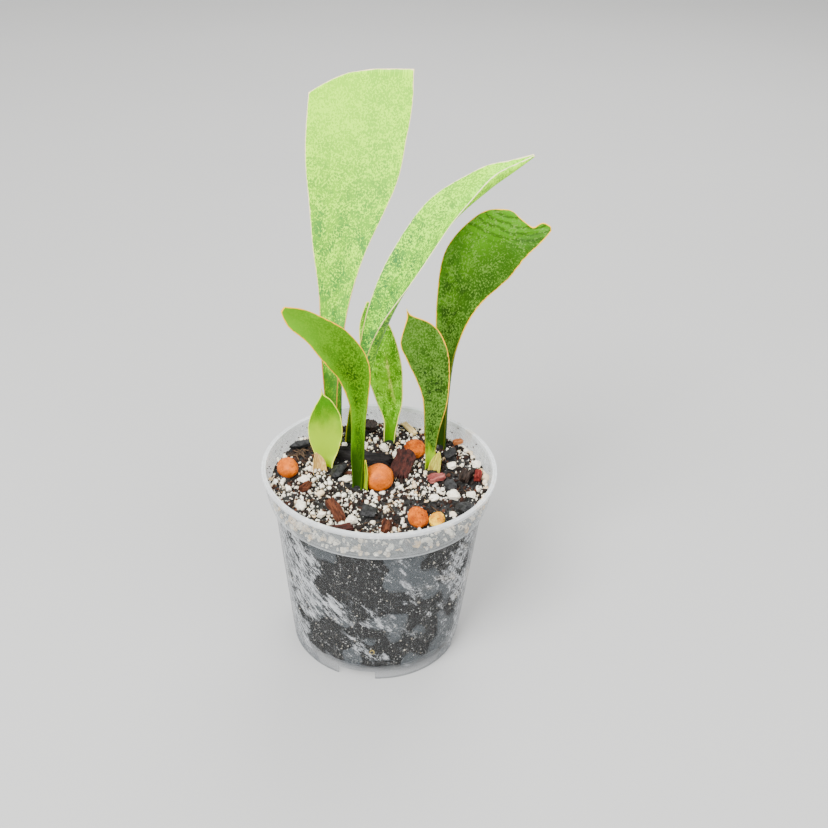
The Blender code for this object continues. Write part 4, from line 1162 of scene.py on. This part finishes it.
class SNAKEPLANT_OT_soil(bpy.types.Operator):
    """Build the soil block with its uneven top and sides"""

    bl_idname = "snakeplant.soil"
    bl_label = "Build Soil"

    def execute(self, context):
        brink = SOIL_TOP - 1.6
        heights = [*np.linspace(brink, SHELF + 1.4, 9), *np.linspace(SHELF - 0.5, FLOOR_TOP + 0.8, 64)]
        profile = [(radius, SOIL_TOP) for radius in np.linspace(0.0, inner_radius(brink) - 0.9, 66)]
        profile += [(inner_radius(h) - 0.7, h) for h in heights]
        profile += [(radius, FLOOR_TOP + 0.4) for radius in (42.0, 30.0, 15.0, 0.0)]
        soil = turned("soil_body", profile, 240)
        points = get_points(soil.data) / MM
        for index, (x, y, z) in enumerate(points):
            reach = math.hypot(x, y)
            if z > SOIL_TOP - 0.01:
                points[index][2] = soil_height(x, y)
            elif z > FLOOR_TOP + 0.5:
                angle = math.atan2(y, x)
                spot = Vector((math.cos(angle) * 9.0, math.sin(angle) * 9.0, z * 0.17))
                dent = 0.5
                for scale, depth in ((1.0, 0.9), (3.1, 0.55), (8.0, 0.25)):
                    dent += noise.noise(spot * scale) * depth
                scale = (reach - max(0.0, dent) * 0.8) / reach
                points[index][0] = x * scale
                points[index][1] = y * scale
        set_points(soil.data, points * MM)
        finish_piece(soil, ["soil"], [soil_material()])
        flesh = lump_material(
            "rhizome_flesh", (176, 128, 60), (232, 204, 140), (104, 70, 34), 300.0, 0.7, 0.5
        )
        for name in ("rhizome_left", "rhizome_right"):
            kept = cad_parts[name]
            kept.material_slots[0].material = flesh
        return {"FINISHED"}


class SNAKEPLANT_OT_grains(bpy.types.Operator):
    """Scatter the perlite grains and dark crumbs on the soil and against the pot wall"""

    bl_idname = "snakeplant.grains"
    bl_label = "Build Grains"

    def execute(self, context):
        settings = context.scene.snakeplant_soil
        draw = np.random.RandomState(settings.seed)
        circles = keep_out()
        coarse = []
        fine = []
        taken = np.zeros((0, 4))
        for _ in range(settings.perlite_grains):
            x, y, reach = self.spot(draw, SOIL_REACH)
            if openness(x, y) < draw.uniform(0.0, 1.0):
                continue
            radius = 0.38 + 2.1 * draw.beta(0.9, 3.4)
            if reach + radius > SOIL_REACH or not free_of(circles, x, y, radius):
                continue
            lift = 0.0
            if len(taken):
                gaps = np.hypot(taken[:, 0] - x, taken[:, 1] - y) - (taken[:, 3] + radius) * 0.82
                if gaps.min() < 0.0:
                    if draw.uniform() < 0.86:
                        continue
                    lift = taken[int(np.argmin(gaps)), 3] * 0.8
            z = soil_height(x, y) + radius * 0.3 + lift
            taken = np.vstack([taken, [x, y, z, radius]])
            spec = (x, y, z, radius, draw.uniform(0.65, 1.3), 0.8 * draw.uniform(0.0, 1.0) ** 4)
            (coarse if radius > COARSE_GRAIN else fine).append(spec)
        crumbs = []
        for _ in range(settings.dark_crumbs):
            x, y, reach = self.spot(draw, SOIL_REACH - 0.1)
            radius = 0.45 + 1.7 * draw.beta(1.3, 4.0)
            if reach + radius > SOIL_REACH - 0.2 or not free_of(circles, x, y, radius):
                continue
            z = soil_height(x, y) + radius * 0.3
            crumbs.append((x, y, z, radius, draw.uniform(0.4, 2.2), draw.uniform(0.0, 1.0) ** 6))
        slivers = []
        for number in range(settings.slivers):
            if number % 3:
                x, y = draw.normal(-43.0, 8.0), draw.normal(27.0, 9.0)
            else:
                x, y = draw.uniform(-52.0, 52.0), draw.uniform(-52.0, 52.0)
            if math.hypot(x, y) > 52.0 or not free_of(circles, x, y, 0.8):
                continue
            z = soil_height(x, y) + draw.uniform(0.5, 1.5)
            shape = (draw.uniform(0.22, 0.42), draw.uniform(7.0, 15.0), draw.uniform(0.0, 1.0) ** 2)
            slivers.append((x, y, z, *shape))
        for _ in range(settings.dust):
            angle = draw.uniform(0.0, math.tau)
            z = SOIL_TOP + 7.0 * draw.uniform(0.0, 1.0) ** 1.6
            reach = inner_radius(z) - 0.3
            shape = (draw.uniform(0.18, 0.55), 1.0, draw.uniform(0.0, 0.4))
            crumbs.append((math.cos(angle) * reach, math.sin(angle) * reach, z, *shape))
        wall = []
        specks = []
        for number in range(settings.wall_grains):
            angle = draw.uniform(0.0, math.tau)
            if number < settings.wall_grains * 0.4:
                z = draw.uniform(SHELF + 1.6, SOIL_TOP - 0.8)
                wall.append(self.against_wall(angle, z, draw.uniform(0.8, 2.3), draw))
            else:
                z = draw.uniform(FLOOR_TOP + 2.0, SHELF - 1.2)
                specks.append(self.against_wall(angle, z, 0.22 + 1.1 * draw.beta(0.9, 6.0), draw))
        looks = {}
        for name, colours in GRAIN_LOOKS.items():
            looks[name] = lump_material(name, *colours)
        small_shapes = self.shapes(9, 2, 40, 0.52, 5, 0.78)
        flakes = self.shapes(5, 1, 60, 0.35, 4, 0.7)
        heaps = (
            ("perlite_coarse", "perlite", self.shapes(8, 2, 20, 0.5, 6, 0.8), coarse, 3),
            ("perlite_fine", "perlite", small_shapes, fine, 4),
            ("perlite_at_wall", "perlite", small_shapes, wall, 5),
            ("specks_at_wall", "dusty_perlite", self.shapes(5, 1, 160, 0.3), specks, 8),
            ("soil_crumbs", "crumbs", flakes + self.shapes(4, 2, 70, 0.4, 6, 0.7), crumbs, 6),
            ("coir_slivers", "coir", flakes, slivers, 7),
        )
        for name, look, shapes, places, seed in heaps:
            made = scatter(name, shapes, places, seed, lying=look == "coir")
            slot = "perlite" if "perlite" in look else "soil_mix"
            finish_piece(made, [], [looks[look]], smooth=look != "crumbs")
        for number, (name, spec) in enumerate(PERLITE.items()):
            made = self.lump(name + "_grain", rough_ball(5, 90 + number, 0.36, 6, 0.8), spec, 1.0, 0.5)
            finish_piece(made, [name], [looks["perlite"]])
        for number, (name, spec) in enumerate(CHARCOAL.items()):
            made = self.lump(name + "_lump", rough_ball(5, 130 + number, 0.25, 13, 0.66), spec, 1.2, 0.7)
            finish_piece(made, [name], [looks["charcoal_grey"]], crease=28.0)
        self.root_curl(looks["root_skin"])
        return {"FINISHED"}

    def spot(self, draw, limit):
        """A random place on the soil inside a radius: x, y and its distance from the middle."""
        angle = draw.uniform(0.0, math.tau)
        reach = limit * math.sqrt(draw.uniform(0.0, 1.0))
        return math.cos(angle) * reach, math.sin(angle) * reach, reach

    def shapes(self, count, detail, seed, *settings):
        """Several different lumps to copy."""
        return [rough_ball(detail, seed + number, *settings) for number in range(count)]

    def against_wall(self, angle, height, radius, draw):
        """A grain pressed on the inside of the pot wall."""
        reach = inner_radius(height) - 0.1 - radius * 0.7
        shape = (radius, draw.uniform(0.6, 1.3), draw.uniform(0.0, 0.9) ** 2)
        return (math.cos(angle) * reach, math.sin(angle) * reach, height, *shape)

    def root_curl(self, look):
        """A little pale root tip curled against the front of the wall."""
        ring = {"major_radius": 1.15 * MM, "minor_radius": 0.3 * MM}
        ring.update(major_segments=24, minor_segments=8)
        turn = (math.radians(86.0), 0.0, math.radians(2.0))
        made = add("root_curl", bpy.ops.mesh.primitive_torus_add, rotation=turn, **ring)
        bpy.ops.object.transform_apply(location=False, rotation=True, scale=False)
        points = get_points(made.data)
        points[:, 2] = points[:, 2] * (1.0 + 0.5 * np.sign(points[:, 2])) + CURL_HEIGHT * MM
        points[:, 0] -= 1.8 * MM
        points[:, 1] -= (inner_radius(CURL_HEIGHT) - 0.5) * MM
        set_points(made.data, points)
        finish_piece(made, [], [look])

    def lump(self, name, shape, spec, grow, sink):
        """A single lump from a unit shape, its size grown and its middle raised by a share of its height."""
        x, y, half_x, half_y, half_z, turn = spec
        points, faces = shape
        halves = np.array([half_x, half_y, half_z]) * grow
        centre = np.array([x, y, SOIL_TOP + half_z * sink])
        placed = ((points * halves) @ rotation((math.radians(turn), "Z")).T + centre) * MM
        made = mesh_object(name, placed.tolist(), [], faces.tolist())
        set_tint(made.data, np.full(len(points), 0.06))
        return made


class SNAKEPLANT_OT_pebbles(bpy.types.Operator):
    """Build the fired clay pebbles"""

    bl_idname = "snakeplant.pebbles"
    bl_label = "Build Pebbles"

    def execute(self, context):
        clay = lump_material("fired_clay", (168, 78, 0), (218, 108, 0), (92, 38, 2), 260.0, 0.5, 0.1)
        pale = lump_material("pale_clay", (196, 120, 0), (246, 206, 60), (104, 44, 2), 240.0, 0.85, 1.0)
        torn = lump_material("torn_clay", (142, 58, 0), (216, 108, 0), (30, 12, 2), 230.0, 0.9, 1.0)
        kinds = {
            "clay_pebble_pale": ("pale_clay", pale),
            "clay_pebble_broken": ("fired_clay", torn),
            "clay_pebble_rear": ("fired_clay", torn),
        }
        normal = np.array([0.35, -0.45, 0.82])
        normal /= np.linalg.norm(normal)
        for number, (name, spec) in enumerate(PEBBLES.items()):
            x, y, z, half_x, half_y, half_z, turn, broken = spec
            made = add(name + "_body", bpy.ops.mesh.primitive_ico_sphere_add, subdivisions=6, radius=1.0)
            points = get_points(made.data)
            coarse = 3.2 if broken else 1.0
            for index, point in enumerate(points):
                away = Vector(point) * 1.1 + Vector((number * 5.1, 0.0, 2.0))
                pimples = 0.022 * noise.noise(away * 3.5) + 0.008 * noise.noise(away * 12.0)
                swell = 0.07 * noise.noise(away) + coarse * pimples
                points[index] = point * (0.985 + swell)
                if broken:
                    over = float(points[index] @ normal) - (1.0 - broken)
                    if over > 0.0:
                        here = Vector(points[index])
                        grain = 0.12 * noise.noise(here * 4.0) + 0.08 * noise.noise(here * 11.0)
                        points[index] = points[index] - normal * (over * 0.9 - grain)
            spin = rotation((math.radians(turn), "Z"))
            placed = (points * np.array([half_x, half_y, half_z])) @ spin.T + np.array([x, y, z])
            set_points(made.data, placed * MM)
            slot, look = kinds.get(name, ("fired_clay", clay))
            finish_piece(made, [name], [look])
        return {"FINISHED"}


class SNAKEPLANT_OT_bark(bpy.types.Operator):
    """Build the bark, husk and papery chips"""

    bl_idname = "snakeplant.bark"
    bl_label = "Build Bark"

    def execute(self, context):
        for number, (name, spec) in enumerate(BARK.items()):
            x, y, lift, length, width, thick, turn, tilt, shade = spec
            slide, longer, wider, lean = BARK_LOOKS.get(name, (0.0, 1.0, 1.0, 0))
            x, length, width, tilt = x + slide, length * longer, width * wider, tilt + lean
            lift = lift + length * 0.22 * abs(math.sin(math.radians(lean)))
            made = add(name + "_piece", bpy.ops.mesh.primitive_cube_add, size=1.0)
            bpy.ops.object.mode_set(mode="EDIT")
            bpy.ops.mesh.select_all(action="SELECT")
            bpy.ops.mesh.subdivide(number_cuts=19)
            bpy.ops.object.mode_set(mode="OBJECT")
            points = get_points(made.data)
            seed = number * 4.3
            for index, (px, py, pz) in enumerate(points):
                ragged = 0.3 * noise.noise(Vector((seed, py, 5.0)))
                end = 1.0 - 0.75 * max(0.0, abs(px) * 2.0 - 0.45 + ragged) ** 2
                edge = 1.0 - 0.6 * max(0.0, abs(py) * 2.0 - 0.4) ** 2
                grooves = noise.noise(Vector((px * 1.2 + seed, py * 7.0, 0.3))) * 0.26
                grooves += noise.noise(Vector((px * 2.0, py * 18.0, seed))) * 0.16
                sway = noise.noise(Vector((px * 2.0 + seed, 0.0, 1.7))) * 0.25
                split = noise.noise(Vector((py * 7.0, pz * 2.0, seed))) * 0.14
                split += noise.noise(Vector((py * 17.0, pz * 4.0, seed))) * 0.06
                across = (py * end + sway) * width
                points[index] = ((px + split * abs(px) * 2.0) * length, across, (pz * edge + grooves) * thick)
            pose = rotation((math.radians(turn), "Z"), (math.radians(tilt), "Y"))
            placed = points @ pose.T + np.array([x, y, SOIL_TOP + lift + thick / 2.0 - 0.5])
            set_points(made.data, placed * MM)
            label = f"bark_{shade}_{number}"
            fibre = (0.0, 0.0, -math.radians(turn))
            look = lump_material(label, *BARK_TONES[shade], 420.0, 0.8, 0.8, fibre=fibre)
            finish_piece(made, [name], [look], crease=35.0)
        return {"FINISHED"}


class SNAKEPLANT_OT_leaves(bpy.types.Operator):
    """Build the leaves and the dry sheaths at their feet"""

    bl_idname = "snakeplant.leaves"
    bl_label = "Build Leaves"

    def execute(self, context):
        settings = context.scene.snakeplant_leaf
        for number, (name, rows) in enumerate(LEAVES.items()):
            style = {**PLAIN_STYLE, **STYLES[name]}
            waves = settings.waves * style["ripple"]
            extras = {"tip": TIP_CUTS.get(name), "creases": style["creases"], "smoothing": style["smoothing"]}
            cells = (settings.cells_across, settings.cells_along)
            sizes = (rows, cells, settings.thickness, waves)
            made, length = blade(name + "_blade", *sizes, number + 1, **extras)
            looks = self.two_faces(name, style, length)
            finish_piece(made, [name], looks)
        dry = sheath_material("dry_sheath", (190, 132, 70), (240, 212, 120))
        fresh = sheath_material("fresh_sheath", (150, 150, 30), (222, 214, 84))
        for number, (name, rows) in enumerate(SHEATHS.items()):
            made, length = blade(name + "_skin", rows, (14, 24), 0.5, 0.8, number + 20, margin=0.6)
            if name == "front_leaf_flap":
                style = {**PLAIN_STYLE, **STYLES["front_leaf"], **FLAP_STYLE}
                looks = self.two_faces("flap", style, length)
            else:
                looks = [fresh if name == "short_leaf_sheath" else dry] * 2
            finish_piece(made, [name], looks)
        return {"FINISHED"}

    def two_faces(self, name, style, length):
        """The materials of a blade's face and of its duller outside."""
        face = leaf_material(name + "_face", style, length, False)
        return [face, leaf_material(name + "_outside", style, length, True)]


class SNAKEPLANT_OT_stage(bpy.types.Operator):
    """Set the pale floor, the soft lights and the camera"""

    bl_idname = "snakeplant.stage"
    bl_label = "Set Stage"

    def execute(self, context):
        settings = context.scene.snakeplant_stage
        scene = context.scene
        plane = bpy.ops.mesh.primitive_plane_add
        floor = add("studio_floor", plane, size=FLOOR_SIZE, location=(0.0, 0.0, -FLOOR_DROP))
        look, tree, shader = new_material("studio_floor", 0.7)
        grain = noise_value(object_position(tree), 3.0, 2.0)
        feed(shader, blend(grain, (172, 172, 171), (178, 178, 177)))
        floor.data.materials.append(look)
        world = bpy.data.worlds.new("studio")
        world.use_nodes = True
        back = world.node_tree.nodes["Background"]
        back.inputs["Color"].default_value = (1.0, 0.995, 0.985, 1.0)
        back.inputs["Strength"].default_value = settings.sky
        scene.world = world
        self.light("key", (-0.7, -1.0, 1.5), 0.9, settings.key_power)
        self.light("fill", (1.1, -0.9, 0.8), 1.2, settings.fill_power)
        self.light("rim", (0.3, 1.1, 1.2), 1.0, settings.fill_power)
        pose = Vector(VIEW_DIRECTION).to_track_quat("-Z", "Y").to_matrix()
        pose = pose @ Matrix.Rotation(math.radians(VIEW_ROLL), 3, "Z")
        data = bpy.data.cameras.new("view")
        data.lens = settings.lens
        data.sensor_width = 36.0
        data.clip_start = 0.01
        camera = bpy.data.objects.new("view", data)
        camera.matrix_world = Matrix.Translation(VIEW_PLACE) @ pose.to_4x4()
        scene.collection.objects.link(camera)
        scene.camera = camera
        return {"FINISHED"}

    def light(self, name, place, size, power):
        """A square soft light aimed at the plant."""
        data = bpy.data.lights.new(name, "AREA")
        data.size = size
        data.energy = power
        made = bpy.data.objects.new(name, data)
        made.location = place
        aim = Vector((0.0, 0.0, LIGHT_AIM)) - Vector(place)
        made.rotation_euler = aim.to_track_quat("-Z", "Y").to_euler()
        bpy.context.scene.collection.objects.link(made)


class SNAKEPLANT_PT_panel(bpy.types.Panel):
    """The sidebar panel"""

    bl_label = "Snake Plant"
    bl_idname = "SNAKEPLANT_PT_panel"
    bl_space_type = "VIEW_3D"
    bl_region_type = "UI"
    bl_category = "Snake Plant"

    def draw(self, context):
        layout = self.layout
        for group_name in GROUPS:
            group = getattr(context.scene, group_name)
            box = layout.box()
            for label in group.bl_rna.properties.keys():
                if label not in ("rna_type", "name"):
                    box.prop(group, label)
        for operator in OPERATORS:
            layout.operator(operator.bl_idname)


GROUPS = {
    "snakeplant_leaf": LeafSettings,
    "snakeplant_soil": SoilSettings,
    "snakeplant_pot": PotSettings,
    "snakeplant_stage": StageSettings,
}
OPERATORS = (
    SNAKEPLANT_OT_pot,
    SNAKEPLANT_OT_soil,
    SNAKEPLANT_OT_grains,
    SNAKEPLANT_OT_pebbles,
    SNAKEPLANT_OT_bark,
    SNAKEPLANT_OT_leaves,
    SNAKEPLANT_OT_stage,
)


def register():
    """Register the settings, operators and panel."""
    for label, group in GROUPS.items():
        bpy.utils.register_class(group)
        setattr(bpy.types.Scene, label, bpy.props.PointerProperty(type=group))
    for operator in OPERATORS:
        bpy.utils.register_class(operator)
    bpy.utils.register_class(SNAKEPLANT_PT_panel)


def unregister():
    """Undo register."""
    bpy.utils.unregister_class(SNAKEPLANT_PT_panel)
    for operator in reversed(OPERATORS):
        bpy.utils.unregister_class(operator)
    for label, group in reversed(list(GROUPS.items())):
        delattr(bpy.types.Scene, label)
        bpy.utils.unregister_class(group)


def main():
    """Build everything in order."""
    register()
    make_leaf_pattern()
    make_grit_pattern()
    bpy.ops.snakeplant.pot()
    bpy.ops.snakeplant.soil()
    bpy.ops.snakeplant.grains()
    bpy.ops.snakeplant.pebbles()
    bpy.ops.snakeplant.bark()
    bpy.ops.snakeplant.leaves()
    bpy.ops.snakeplant.stage()


if __name__ == "__main__":
    main()
